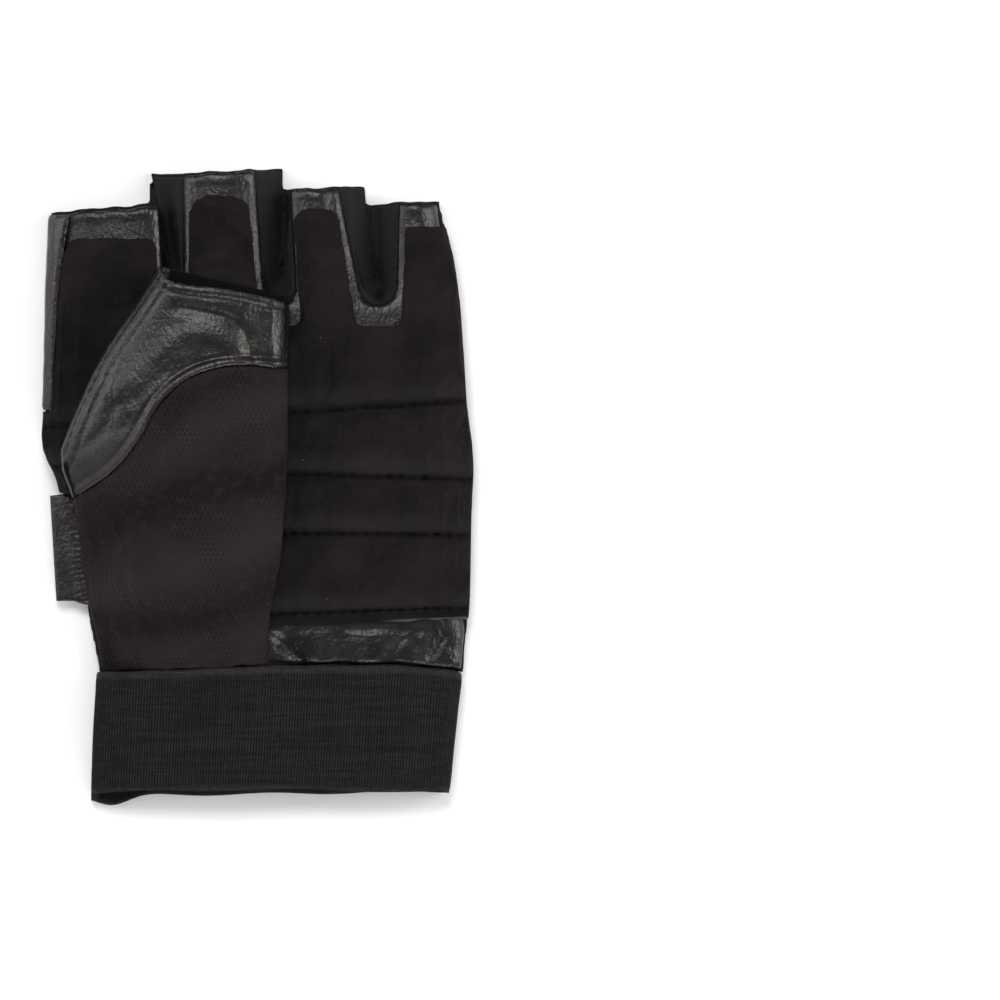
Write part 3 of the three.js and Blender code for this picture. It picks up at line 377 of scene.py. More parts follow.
class Finish:
    """One material: a shader and the nodes that feed it."""

    def __init__(self, name, **fixed):
        self.material = bpy.data.materials.new(name)
        self.material.use_nodes = True
        self.tree = self.material.node_tree
        self.shader = self.tree.nodes["Principled BSDF"]
        for socket, value in fixed.items():
            label = socket.replace("_", " ").title().replace("Ior", "IOR")
            self.shader.inputs[label].default_value = value
        self.place = self.node("TexCoord", output="Object", raw=True)

    def node(self, kind, settings=None, inputs=None, output=0, raw=False):
        node = self.tree.nodes.new("ShaderNode" + kind)
        for name, value in (settings or {}).items():
            setattr(node, name, value)
        for name, value in (inputs or {}).items():
            self.feed(node.inputs[name], value)
        return node.outputs[output] if raw else Value(self, node.outputs[output])

    def feed(self, socket, value):
        if isinstance(value, Value):
            self.tree.links.new(value.socket, socket)
        elif isinstance(value, bpy.types.NodeSocket):
            self.tree.links.new(value, socket)
        else:
            socket.default_value = value

    def parts(self, place=None):
        split = self.node("SeparateXYZ", inputs={"Vector": place or self.place}, raw=True).node
        return [Value(self, split.outputs[k]) for k in range(3)]

    def read(self, name, output="Fac"):
        return self.node("Attribute", {"attribute_name": name}, output=output, raw=output == "Vector")

    def lumps(self, size, detail=2.0, roughness=0.5, stretch=None):
        """Cloudy variation from 0 to 1, about as wide as size in millimetres."""
        where = self.place
        if stretch:
            where = self.node("Mapping", inputs={"Vector": where, "Scale": stretch}, raw=True)
        inputs = {"Vector": where, "Scale": 1 / (size * MM), "Detail": detail, "Roughness": roughness}
        return self.node("TexNoise", inputs=inputs)

    def pebbles(self, size, place):
        """Rounded random cells, about as wide as size in millimetres."""
        return self.node("TexVoronoi", {"feature": "SMOOTH_F1"}, {"Vector": place, "Scale": 1 / (size * MM)})

    def specks(self, apart, size, above):
        """Specks of lint: a dot in the middle of a few cells, each as wide as a share of its cell."""
        plan = self.node("Mapping", inputs={"Vector": self.place, "Scale": (1, 1, 0)}, raw=True)
        inputs = {"Vector": plan, "Scale": 1 / (apart * MM)}
        cell = self.node("TexVoronoi", {"feature": "F1"}, inputs, raw=True).node
        chosen = self.parts(cell.outputs["Color"])[0].rise(above, above + 0.02)
        return (1 - Value(self, cell.outputs["Distance"]).rise(size * 0.6, size)) * chosen

    def blend(self, first, second, factor):
        settings = {"data_type": "RGBA"}
        mix = self.node("Mix", settings, raw=True).node
        self.feed(mix.inputs["Factor"], factor)
        self.feed(mix.inputs[6], first)
        self.feed(mix.inputs[7], second)
        return mix.outputs[2]

    def bump(self, height, depth, strength=1.0):
        """A relief whose highest place stands depth millimetres over its lowest."""
        inputs = {"Height": height, "Distance": depth * MM, "Strength": strength}
        return self.node("Bump", inputs=inputs, raw=True)

    def give(self, **inputs):
        for name, value in inputs.items():
            self.feed(self.shader.inputs[name.replace("_", " ").title()], value)
        return self.material

    def lined(self, color, share):
        """Covers a share of the surface with a dull lining that has no shine of its own."""
        lining = self.node("BsdfPrincipled", inputs={"Base Color": color, "Roughness": 1.0}, raw=True).node
        lining.inputs["Specular IOR Level"].default_value = 0.0
        mix = self.node("MixShader", inputs={"Fac": share}, raw=True).node
        self.feed(mix.inputs[1], self.shader.outputs["BSDF"])
        self.feed(mix.inputs[2], lining.outputs["BSDF"])
        self.feed(self.tree.nodes["Material Output"].inputs["Surface"], mix.outputs[0])


def grey(level, warmth=0.0):
    """A near-neutral dark colour, a little red when warm."""
    return (level * (1 + warmth), level * (1 - 0.35 * warmth), level, 1.0)


LEATHER_DARK = (0.0028, 0.0026, 0.0026, 1.0)
LEATHER_PALE = (0.0066, 0.0060, 0.0057, 1.0)
LEATHER_WORN = (0.0120, 0.0108, 0.0100, 1.0)
LINING = (0.0050, 0.0050, 0.0050, 1.0)


def leather_finish():
    """Black grained leather: fine short grain, duller in some places than others, rubbed at its folds."""
    f = Finish("leather", specular_ior_level=0.44)
    f.shader.inputs["Specular Tint"].default_value = (1.0, 0.965, 0.92, 1.0)
    worn = f.read("wear")
    inside = f.read("inside")
    shine = f.read("shine")
    slanted = {"Vector": f.place, "Rotation": (0, 0, 0.6), "Scale": (1.0, 0.55, 1.0)}
    pebbles = f.pebbles(0.85, f.node("Mapping", inputs=slanted, raw=True))
    fine = f.lumps(0.75, 2.0, 0.6)
    soft = f.lumps(3.0, 3.0, 0.6)
    broad = f.lumps(9.0, 3.0, 0.6)
    shade = f.blend(LEATHER_DARK, LEATHER_PALE, broad.rise(0.35, 0.75))
    shade = f.blend(shade, LEATHER_WORN, worn * 0.6)
    f.lined(LINING, inside)
    rough = 0.58 - shine * 0.24 + soft.rise(0.3, 0.7) * 0.06
    height = pebbles * 0.6 + fine * 0.6 + soft * 0.25
    return f.give(base_color=shade, roughness=rough, normal=f.bump(height, 0.19))


SUEDE_DARK = (0.0062, 0.0050, 0.0060, 1.0)
SUEDE_PALE = (0.0118, 0.0094, 0.0110, 1.0)
SUEDE_RAW = (0.06, 0.055, 0.055, 1.0)  # its cut edge
LINT = (0.13, 0.12, 0.11, 1.0)


def suede_finish():
    """Black suede: a short brushed nap in soft patches, with painted shade darkening it in the sewn channels
    and a painted highlight on the pads above them.
    """
    f = Finish("suede", specular_ior_level=0.05, sheen_weight=0.03, sheen_roughness=0.5)
    f.shader.inputs["Sheen Tint"].default_value = (0.75, 0.68, 0.70, 1.0)
    crease_shade = f.read("crease_shade")
    painted_lighting = f.read("painted_lighting")
    raw = f.read("raw")
    patches = f.lumps(14.0, 3.0, 0.55)
    nap = f.lumps(0.5, 3.0, 0.65, stretch=(1.0, 0.45, 1.0))
    fibres = f.lumps(0.16, 2.0, 0.5)
    shade = f.blend(SUEDE_DARK, SUEDE_PALE, patches.rise(0.3, 0.72))
    shade = f.blend(shade, grey(0.021, 0.16), nap.rise(0.5, 0.8) * 0.45)
    # painted shade: darker in the sewn channels, on the band below the hem and in the thumb's shadow
    shade = f.blend(shade, grey(0.002), crease_shade)
    # painted highlight: lighter on the pads just above each channel
    shade = f.blend(shade, grey(0.020, 0.1), painted_lighting * 0.35)
    shade = f.blend(shade, SUEDE_RAW, raw)
    shade = f.blend(shade, LINT, f.specks(6.0, 0.032, 0.60))
    height = nap * 0.7 + fibres * 0.5
    return f.give(base_color=shade, roughness=0.9 + nap * 0.1, normal=f.bump(height, 0.10, strength=0.7))


def knit_finish():
    """Brownish black knitted mesh: staggered small oval holes in close rows of stitches, painted lighter on
    its raised folds and darker in its dents.
    """
    f = Finish("knitted_mesh", specular_ior_level=0.08, sheen_weight=0.03, sheen_roughness=0.5)
    f.shader.inputs["Sheen Tint"].default_value = (0.75, 0.62, 0.64, 1.0)
    across, along, _ = f.parts(f.read("weave", "Vector"))
    turn = 2 * math.pi / MM
    drift = (f.lumps(1.6, 1.0, 0.5) - 0.5) * (0.5 * MM)
    lattice = ((across + drift) * (turn / 1.26)).cosine() * ((along + drift) * (turn / 2.6)).cosine()
    holes = lattice.rise(0.15, 0.85)
    loops = (along * (turn / 0.32)).sine() * 0.5 + 0.5
    painted_lighting = f.read("painted_lighting")
    uneven = f.lumps(2.2, 2.0, 0.6)
    # painted light and shade: lighter where the knit stands up, darker in its dents
    shade = f.blend(grey(0.0052, 0.24), grey(0.0155, 0.27), painted_lighting)
    shade = f.blend(shade, grey(0.0210, 0.24), uneven.rise(0.45, 0.8) * 0.4)
    shown = f.lumps(9.0, 2.0, 0.5).rise(0.3, 0.7)
    shade = f.blend(shade, grey(0.0015, 0.2), holes * (0.10 + uneven * 0.2 + shown * 0.3))
    height = (1 - holes * shown) * 0.8 + loops * 0.15
    return f.give(base_color=shade, roughness=0.8, normal=f.bump(height, 0.2))


def stretch_finish(name="stretch_fabric", level=0.0065):
    """Black stretch fabric: a fine twill of slanting ribs with a dull sheen, and painted shade in the hollows
    of its folds.
    """
    f = Finish(name, specular_ior_level=0.08, sheen_weight=0.04, sheen_roughness=0.45)
    x, y, z = f.parts()
    turn = 2 * math.pi / MM
    twill = ((x + z) * (turn / 0.62) + y * (turn / 0.95)).sine() * 0.5 + 0.5
    yarn = ((y - z) * (turn / 0.5)).sine() * 0.5 + 0.5
    patches = f.lumps(12.0, 2.0, 0.5)
    shade = f.blend(grey(level), grey(level * 1.7), patches)
    shade = f.blend(shade, grey(level * 2.4), twill * yarn * 0.6)
    # painted shade in the hollows of the folds
    shade = f.blend(shade, grey(0.0015), f.read("crease_shade") * 0.7)
    height = twill * 0.6 + yarn * 0.4
    return f.give(base_color=shade, roughness=0.8, normal=f.bump(height, 0.09, strength=0.8))


CUFF_DARK = (0.0060, 0.0053, 0.0062, 1.0)
CUFF_PALE = (0.0150, 0.0133, 0.0155, 1.0)
CUFF_WEFT = (0.0320, 0.0285, 0.0326, 1.0)
# painted shade in the rib valleys, and a painted highlight on the top fold
CUFF_VALLEY_SHADE = (0.0016, 0.0014, 0.0017, 1.0)
CUFF_FOLD_HIGHLIGHT = (0.036, 0.034, 0.037, 1.0)


def elastic_finish():
    """Black ribbed elastic: upright ribs crossed by faint rows where the weft holds them, with painted shade
    between the ribs and in the groove at its top, and a painted highlight along its top fold.
    """
    f = Finish("elastic", specular_ior_level=0.12, sheen_weight=0.03, sheen_roughness=0.45)
    _, along, _ = f.parts(f.read("weave", "Vector"))
    turn = 2 * math.pi / MM
    weft = f.lumps(0.5, 2.0, 0.6, stretch=(0.35, 1.0, 1.0))
    rows = ((along * (turn / 0.62)).sine() * 0.5 + 0.5) * weft.rise(0.35, 0.7)
    streaks = f.lumps(1.3, 3.0, 0.7, stretch=(0.05, 1.0, 1.0))
    single = f.lumps(0.9, 1.0, 0.5, stretch=(1.0, 0.06, 1.0))
    valley_shade = f.read("valley_shade")
    shade = f.blend(CUFF_DARK, CUFF_PALE, streaks.rise(0.38, 0.66) * 0.6 + single.rise(0.3, 0.7) * 0.4)
    shade = f.blend(shade, CUFF_WEFT, rows * (0.2 + streaks.rise(0.36, 0.62) * 0.8))
    # painted shade between the ribs and in the groove at the top
    shade = f.blend(shade, CUFF_VALLEY_SHADE, valley_shade * 0.9)
    # painted highlight along the crest of the top fold
    shade = f.blend(shade, CUFF_FOLD_HIGHLIGHT, f.read("folded") * (0.35 + weft * 0.5))
    return f.give(base_color=shade, roughness=0.75, normal=f.bump(rows, 0.08, strength=0.8))


def thread_finish(name="thread", level=0.003):
    """Twisted black thread."""
    f = Finish(name, specular_ior_level=0.1)
    twist = f.lumps(0.4, 2.0, 0.5)
    shade = f.blend(grey(level), grey(level * 2.6), twist)
    return f.give(base_color=shade, roughness=0.55, normal=f.bump(twist, 0.05))


# Pieces of the glove


def palm_suede(finish):
    """The suede overlay: puffed up, with its channels, hem and folds pushed in."""
    piece, edges = cut_from("palm_suede", "suede_palm", 1.0)
    soften(piece, 6)
    wall = Wall(piece, edges)
    x, y = wall.at[:, 0], wall.at[:, 1]
    sewn = (wall.up < 0.5) | (wall.edge < 1.6)
    for middle, slope in [*CHANNELS, HEM]:
        sewn |= np.abs(y - middle - slope * x) < 1.1
    puffed(piece, sewn, slack=0.05, most=1.3)
    apply_modifier(piece, "SUBSURF", levels=1, render_levels=1)
    wall = Wall(piece, edges)
    x, y = wall.at[:, 0], wall.at[:, 1]
    height = 0.15 * lumps(wall.at, 17.0, 1) + 0.06 * lumps(wall.at, 6.0, 2) + folded(wall.at, PAD_FOLDS)
    crease_shade, painted_lighting = np.zeros(len(x)), np.zeros(len(x))
    for middle, slope in [*CHANNELS, HEM]:
        off = y - middle - slope * x
        pucker = 1 + 0.3 * np.cos(2 * math.pi * x / STITCH_PITCH)
        height -= 0.75 * ridge(off, 0.6) * pucker + 0.35 * ridge(off, 1.9)
        height += 0.16 * ridge(off, 4.0) * lumps(wall.at, 3.2, 3, (1.0, 0.25, 1.0))
        # painted shade: a dark line down each channel
        crease_shade = np.maximum(crease_shade, 0.8 * ridge(off, 0.4))
        # painted highlight on the pad just above each channel
        painted_lighting = np.maximum(painted_lighting, ease(off, 0.4, 2.0) * ease(-off, -7.5, -2.0))
    for (left, right), y_line in STALL_SEAMS:
        height -= 0.16 * ridge(y - y_line, 0.4) * ease(x, left - 1, left) * ease(-x, -right - 1, -right)
    height -= 0.35 * ridge(wall.edge, 0.7) + 0.22 * ridge(wall.edge - 2.1, 0.5)
    past_hem = HEM[0] + HEM[1] * x - y
    # painted shade on the turned band below the hem
    crease_shade = np.maximum(crease_shade, 0.3 * ease(past_hem, 0.3, 1.0))
    crease_shade = np.maximum(crease_shade, 0.45 * ease(-x, -19.0, -9.0) * ease(-y, -46.0, -38.0))  # painted shadow of the thumb, darkening the palm beside it
    wall.push(height * wall.up)
    wall.at[:, 0] -= 0.25 * ease(-x, 43.0, 45.0) * ease(y, 18.0, 20.0) * ease(-wall.edge, -0.8, -0.2)
    wall.wave_ends()
    wall.note("crease_shade", crease_shade * wall.up)
    # painted highlight mask, with random patches mixed in
    wall.note("painted_lighting", np.clip(painted_lighting + 0.4 * lumps(wall.at, 7.0, 4), 0, 1) * wall.up)
    wall.note("raw", ease(x, 30, 38) * ease(past_hem, 1.7, 2.0) * ease(-wall.edge, -0.75, -0.4))
    wall.keep()
    finish_piece(piece, finish, "suede", "palm_suede")
    return piece


def palm_leather(finish):
    """The leather under the suede: bands with a raised rim, and the creased strip at the heel."""
    piece, edges = cut_from("palm_leather", "leather_palm", 0.65)
    soften(piece, 14)
    wall = Wall(piece, edges)
    y = wall.at[:, 1]
    heel = ease(-y, 35.5, 37.5) * ease(y - wrist_seam(wall.at[:, 0]), 0.0, 1.8)
    fine = creases(wall.at, 5.0, 6, (1.0, 0.6, 1.0)) * 0.10
    tips = ease(y, 52, 60)
    height = heel * (0.3 + folded(wall.at, HEEL_FOLDS) + 0.2 * lumps(wall.at, 5.0, 5) - fine)
    height += tips * (0.18 * ease(-wall.edge, -3.0, -1.8) + 0.10 * lumps(wall.at, 5.0, 7))
    height -= 0.25 * ridge(wall.edge, 0.5)
    wall.push(height * wall.up)
    wall.at[:, 0] += 0.7 * ease(wall.at[:, 0], 46.5, 49.5) * ease(-y, 32.0, 36.5)
    wall.wave_ends()
    wall.note("wear", ridge(wall.edge - 0.9, 0.6) * 0.15 * wall.up)
    wall.note("inside", ease(-wall.edge, -0.7, -0.2))
    wall.note("shine", 0.95 + 0.1 * heel + 0.35 * lumps(wall.at, 6.0, 23))
    wall.keep()
    finish_piece(piece, finish, "leather", "palm_leather")
    return as_cut(piece, area=11150)


def index_strip(finish):
    """The leather strip down the side of the index finger's stall."""
    piece, edges = cut_from("index_side_strip", "index_strip", 0.4)
    soften(piece, 8)
    wall = Wall(piece, edges)
    height = 0.3 * ease(wall.edge, 0.2, 1.0) + 0.15 * lumps(wall.at, 3.0, 8, (1.0, 0.5, 1.0))
    wall.push(height * np.maximum(wall.up, ease(-wall.facing[:, 0], 0.2, 0.6)))
    wall.note("wear", ridge(wall.edge - 0.6, 0.6) * 0.15)
    wall.note("shine", 0.95 + 0.3 * lumps(wall.at, 5.0, 24))
    wall.at[:, 0] += 0.25 * ease(wall.facing[:, 0], 0.1, 0.6)
    wall.keep()
    finish_piece(piece, finish, "leather", "index_side_strip")
    return as_cut(piece, area=340)


def side_tab(finish):
    """The folded leather tab, bent up and puckered where it goes into the side seam."""
    piece, edges = cut_from("side_tab", "leather_tab", 0.4)
    soften(piece, 4)
    wall = Wall(piece, edges)
    bend, side, along = away_from(np.array(TAB_BEND), wall.at)
    rising = ease(-np.where(side > 0, 0, bend), -4.2, -0.2)
    uneven = 0.5 + 0.5 * lumps(wall.at, 4.0, 25)
    waves = np.cos(2 * math.pi * along / 1.4 + 2 * lumps(wall.at, 5.0, 26))
    pucker = waves * ridge(bend - 0.8, 1.4) * uneven
    height = 1.25 * rising + 0.07 * pucker + 0.2 * lumps(wall.at, 7.0, 9)
    wall.push(height * wall.up)
    wall.note("wear", ridge(bend - 0.6, 1.0) * 0.6)
    wall.note("shine", 0.8 + 0.3 * rising)
    wall.keep()
    finish_piece(piece, finish, "leather", "side_tab")
    return as_cut(piece, area=350)


def back_of_hand(finish):
    """The plain back, with its rims raised to meet the palm."""
    piece, edges = cut_from("back_panel", "back_fabric", 0.7)
    above_floor = lambda wall: ease(np.abs(wall.facing[:, 2]), 0.15, 0.6) * (wall.at[:, 2] > 0.7)
    soften(piece, 6, hold=above_floor)
    wall = Wall(piece, edges)
    rim = ease(wall.at[:, 2], 1.9, 2.6)
    wall.at[:, 2] = np.maximum(wall.at[:, 2] + 0.45 * rim, ON_FLOOR)
    wall.wave_ends()
    wall.keep()
    finish_piece(piece, finish, "stretch_fabric", "back_panel")
    return as_cut(piece, area=12450)


def fourchette(which, finish):
    """A gusset between two finger stalls, with deep folds running along it."""
    piece, edges = cut_from("fourchette_" + which, "gusset_" + which, 0.45)
    soften(piece, 6, hold=lambda wall: np.ones(len(wall.at)))
    wall = Wall(piece, edges)
    inner = ease(wall.edge, 0.3, 1.5)
    folds = lumps(wall.at, 3.4, 11, (1.0, 0.16, 1.0))
    wall.push(inner * (folds + 0.2 * lumps(wall.at, 3.0, 12)))
    wall.wave_ends()
    # painted shade: marked darker in the hollows between the folds
    wall.note("crease_shade", ease(-folds, 0.0, 0.5))
    wall.keep()
    finish_piece(piece, finish, "stretch_fabric", "fourchette_" + which)
    return as_cut(piece)


FOLD_RADIUS = 4.0  # of the thumb's cloth round its right side


def around_thumb(wall):
    """How far across the thumb's flat cloth each point lies: over the top, round the fold and back below."""
    y = np.round(wall.at[:, 1]).astype(int)
    across = wall.at[:, 0].copy()
    for row in np.unique(y):
        here = np.nonzero(y == row)[0]
        x, z = wall.at[here, 0], wall.at[here, 2]
        fold = x.max()
        near = z[x > fold - 1.5]
        middle = (near.max() + near.min()) / 2
        bend = fold - FOLD_RADIUS
        angle = np.arctan2(np.maximum(x - bend, 0.0) + 1e-6, z - middle)
        wrapped = bend + FOLD_RADIUS * angle
        below = bend + FOLD_RADIUS * math.pi + (bend - x)
        across[here] = np.where(x > bend, wrapped, np.where(z > middle, x, below))
    return across


def thumb_leather(finish):
    """The cap of the thumb's stall, with its seams, rims and folds."""
    piece, edges = cut_from("thumb_leather", "leather_thumb", 0.5)
    soften(piece, 8)
    wall = Wall(piece, edges)
    gap, _, _ = away_from(curve_through(THUMB_SEAM), wall.at)
    cap, _, _ = away_from(curve_through(CAP_EDGE, 60), wall.at)
    top = wall.up * ease(wall.at[:, 2], 15.5, 17.5)
    folds = creases(wall.at, 9.0, 13, (1.0, 0.6, 1.0)) * 0.05
    height = 0.25 * lumps(wall.at, 10.0, 15) + folded(wall.at, CAP_FOLDS) - folds
    height += 0.28 * ease(-wall.edge, -2.2, -1.4) - 0.22 * ridge(wall.edge - 2.3, 0.5)
    height -= 0.26 * ridge(gap - 1.2, 0.4) + 0.24 * ridge(gap - 4.0, 0.5)
    height += 0.20 * ridge(gap - 2.6, 0.9)
    height += 0.26 * ease(-cap, -1.7, -0.9) - 0.12 * ridge(cap - 2.1, 0.5)
    wall.note("inside", wall.up * ease(-wall.at[:, 2], -19.6, -18.6) * ease(gap, 1.5, 3.0))
    wall.note("shine", ease(wall.at[:, 1], 3.0, 19.0))
    wall.push(height * top)
    wall.note("wear", (ridge(wall.edge - 0.7, 0.5) * 0.25 + ridge(cap - 0.8, 0.4) * 0.25) * top)
    wall.keep()
    finish_piece(piece, finish, "leather", "thumb_leather")
    return as_cut(piece, area=3200)


def thumb_mesh(finish):
    """The knitted lower part of the thumb's stall, lying in soft folds."""
    piece, edges = cut_from("thumb_mesh", "knit_thumb", 0.55)
    soften(piece, 14)
    wall = Wall(piece, edges)
    top = wall.up * ease(wall.at[:, 2], 6.0, 9.0)
    cap, _, _ = away_from(curve_through(CAP_EDGE, 60), wall.at)
    height = folded(wall.at, KNIT_FOLDS) + 0.25 * lumps(wall.at, 9.0, 16) + 0.12 * lumps(wall.at, 4.0, 17)
    height -= 0.5 * ridge(cap - 3.8, 2.6)
    # painted light and shade: lighter where the knit stands high, darker in its dents and in the band below
    # the cap's edge
    wall.note("painted_lighting", np.clip(0.45 + 0.5 * height, 0, 1) * top)
    apart = ease(wall.at[:, 0] - np.interp(-wall.at[:, 1], [2, 46], [-45.5, -39.7]), 2.0, 12.0)
    wall.push(np.where(height < 0, height * apart, height) * top * ease(wall.edge, 0.0, 2.5))
    wall.note_place("weave", around_thumb(wall), wall.at[:, 1])
    wall.keep()
    finish_piece(piece, finish, "knitted_mesh", "thumb_mesh")
    return as_cut(piece, area=6250)


# The cuff's outline as it lies flattened. Each row: where it is along the wrist, its left and right side,
# the height of its sides, and the height of its top at the left and at the right
CUFF = [
    (-46.3, -40.2, 51.0, 3.7, 12.6, 9.8),
    (-49.5, -40.4, 50.9, 3.9, 12.6, 10.2),
    (-56.0, -40.8, 50.1, 4.1, 12.3, 11.0),
    (-64.0, -41.2, 49.4, 4.2, 12.0, 11.4),
    (-72.0, -41.6, 48.6, 4.2, 11.9, 11.4),
    (-81.0, -41.9, 47.4, 4.0, 11.8, 11.2),
]
CUFF_UPPER_END = -76.6
CUFF_LOWER_END = -78.6
RIBS = 270
POINTS_A_RIB = 4
CUFF_ROWS = 40
CUFF_LENGTH = 31.0
ELASTIC = 1.6  # thickness
ROUND_OVER, ROUND_UNDER = 3.4, 7  # how squarely its upper and its lower side turn down into the fold


def cuff_ring(y):
    """The cuff's outer outline at one distance: points round it, and 1 on its upper side."""
    places = [-row[0] for row in CUFF]
    left, right, seam, high, low = (np.interp(-y, places, [row[k] for row in CUFF]) for k in range(1, 6))
    turn = np.linspace(0, math.pi, 240, endpoint=False)
    u = np.cos(turn)
    x = (left + right) / 2 + (right - left) / 2 * u
    top = high + (low - high) * ease(x, -6, 14)
    over = seam + (top - seam) * (1 - np.abs(u) ** ROUND_OVER) ** (1 / ROUND_OVER)
    under = seam * (1 - (1 - np.abs(u) ** ROUND_UNDER) ** (1 / ROUND_UNDER))
    flat = (left + right) / 2 - (right - left) / 2 * u
    ring = np.vstack([np.column_stack([x, over]), np.column_stack([flat, under])])
    return ring, np.concatenate([np.ones(len(u)), np.zeros(len(u))])


def cuff_end(x, upper):
    """Where the cuff's free edge lies: its back layer shows below the front one."""
    u = np.clip((x - 3.0) / 44.5, -1, 1)
    front = CUFF_UPPER_END + 0.8 * (1 - u * u) + 0.25 * np.sin(x / 6.0)
    tongue = 2.6 * ridge(x + 36.5, 6.0)
    back = CUFF_LOWER_END + 1.4 - tongue + 0.7 * ease(u, -0.5, 1) + 0.3 * np.sin(x / 5.0 + 1)
    return back + (front - back) * upper


def wrist_cuff(finish):
    """The cuff: a grid rolled into a flat tube, thickened inwards, with its ribs pushed up."""
    columns = RIBS * POINTS_A_RIB
    bpy.ops.object.select_all(action="DESELECT")
    bpy.ops.mesh.primitive_grid_add(x_subdivisions=columns, y_subdivisions=CUFF_ROWS, size=2.0)
    piece = bpy.context.object
    piece.name = "elastic_cuff"
    co = np.empty(len(piece.data.vertices) * 3, np.float32)
    piece.data.vertices.foreach_get("co", co)
    flat = co.reshape(-1, 3)
    column = np.round((flat[:, 0] + 1) / 2 * columns).astype(int)
    row = np.round((flat[:, 1] + 1) / 2 * CUFF_ROWS).astype(int)
    at = np.zeros((len(flat), 3))
    girth = 0.0
    for k in range(CUFF_ROWS + 1):
        share = 1 - k / CUFF_ROWS
        ring, upper = cuff_ring(CUFF_TOP_Y - 0.35 + share * (CUFF_UPPER_END - CUFF_TOP_Y))
        closed = np.vstack([ring, ring[:1]])
        run = np.concatenate([[0], np.cumsum(np.linalg.norm(np.diff(closed, axis=0), axis=1))])
        girth = max(girth, run[-1])
        here = np.nonzero(row == k)[0]
        spot = column[here] / columns * run[-1]
        x = np.interp(spot, run, closed[:, 0])
        z = np.interp(spot, run, closed[:, 1])
        side = np.interp(spot, run, np.append(upper, upper[0]))
        top = CUFF_TOP_Y - 0.05 + (wrist_seam(x) - CUFF_TOP_Y) * side * ease(np.abs(x - 5.4), 45.4, 43.8)
        at[here, 0] = x
        at[here, 1] = top + share * (cuff_end(x, side) - top)
        at[here, 2] = z
    piece.data.vertices.foreach_set("co", (at * MM).astype(np.float32).ravel())
    piece.data.update()
    cloth = Wall(piece)
    cloth.note("round", column)
    cloth.note("down", (1 - row / CUFF_ROWS) * CUFF_LENGTH)
    only(piece)
    bpy.ops.object.mode_set(mode="EDIT")
    bpy.ops.mesh.select_all(action="SELECT")
    bpy.ops.mesh.flip_normals()
    bpy.ops.mesh.remove_doubles(threshold=0.02 * MM)
    bpy.ops.object.mode_set(mode="OBJECT")
    apply_modifier(piece, "SOLIDIFY", thickness=ELASTIC * MM, offset=-1.0, use_rim=True)
    wall = Wall(piece)
    column, length = wall.noted("round"), wall.noted("down")
    rib = np.cos(2 * math.pi * column / POINTS_A_RIB)
    held = ease(length, 1.3, 1.9) * ease(-length, -30.6, -29.6)
    height = 0.15 * rib * held + 0.28 * ridge(length - 1.1, 0.45) - 0.15 * ridge(length - 0.3, 0.35)
    height += 0.22 * lumps(wall.at, 14.0, 20) * held * (wall.facing[:, 2] > -0.5)
    wall.at[:, 1] += 0.10 * np.sin(wall.at[:, 0] / 2.3) * ease(-length, -6, 0)
    wall.push(height)
    wall.at[:, 2] = np.maximum(wall.at[:, 2], ON_FLOOR)
    # painted shade: darker between the ribs and in the groove at the top
    wall.note("valley_shade", np.maximum((0.5 - 0.5 * rib) * held, ridge(length - 0.3, 0.35)))
    # painted highlight along the crest of the top fold
    wall.note("folded", ridge(length - 1.15, 0.32))
    wall.note_place("weave", column / columns * girth, length)
    wall.keep()
    finish_piece(piece, finish, "elastic", "wrist_cuff")
    return as_cut(piece)


# Thread


def ground(*pieces):
    """What a row of stitches lies on, for finding the surface under a plan point."""
    trees = []
    for piece in pieces:
        work = bmesh.new()
        work.from_mesh(piece.data)
        trees.append(BVHTree.FromBMesh(work))
        work.free()
    return trees


def drop(trees, x, y, high=60.0):
    """The highest surface under a plan point, and which way it faces."""
    best = None
    for tree in trees:
        place, facing, _, _ = tree.ray_cast(Vector((x, y, high)) * MM, Vector((0, 0, -1)))
        if place and (best is None or place.z > best[0].z):
            best = (place, facing)
    return best


def stitch_shape():
    """One stitch of thread, lying along X: a short rounded length, thinner where it dives into the cloth."""
    bpy.ops.object.select_all(action="DESELECT")
    bpy.ops.mesh.primitive_uv_sphere_add(segments=8, ring_count=7, radius=0.5)
    stitch = bpy.context.object
    bpy.ops.transform.rotate(value=math.radians(90), orient_axis="Y", center_override=(0, 0, 0))
    bpy.ops.transform.resize(value=(STITCH_LENGTH * MM, THREAD * MM, THREAD * MM))
    bpy.ops.object.transform_apply(location=True, rotation=True, scale=True)
    return stitch


def stitch_row(stitch, name, line, trees, finish, sink=0.08):
    """Lays copies of a stitch end to end along a plan line, on the cloth under it."""
    run = np.concatenate([[0], np.cumsum(np.linalg.norm(np.diff(line, axis=0), axis=1))])
    copies = []
    for spot in np.arange(STITCH_PITCH / 2, run[-1], STITCH_PITCH):
        x, y = (np.interp(spot, run, line[:, k]) for k in range(2))
        ahead = [np.interp(spot + 1.0, run, line[:, k]) for k in range(2)]
        found, further = drop(trees, x, y), drop(trees, *ahead)
        if not found or not further:
            continue
        place, facing = found
        course = (further[0] - place).normalized()
        aside = facing.cross(course).normalized()
        out = course.cross(aside)
        copy = stitch.copy()
        copy.data = stitch.data.copy()
        turn = Matrix((course, aside, out)).transposed().to_4x4()
        copy.data.transform(Matrix.Translation(place - out * sink * MM) @ turn)
        bpy.context.scene.collection.objects.link(copy)
        copies.append(copy)
    bpy.ops.object.select_all(action="DESELECT")
    for copy in copies:
        copy.select_set(True)
    bpy.context.view_layer.objects.active = copies[0]
    bpy.ops.object.join()
    copies[0].name = name
    return finish_piece(copies[0], finish, "stretch_fabric")


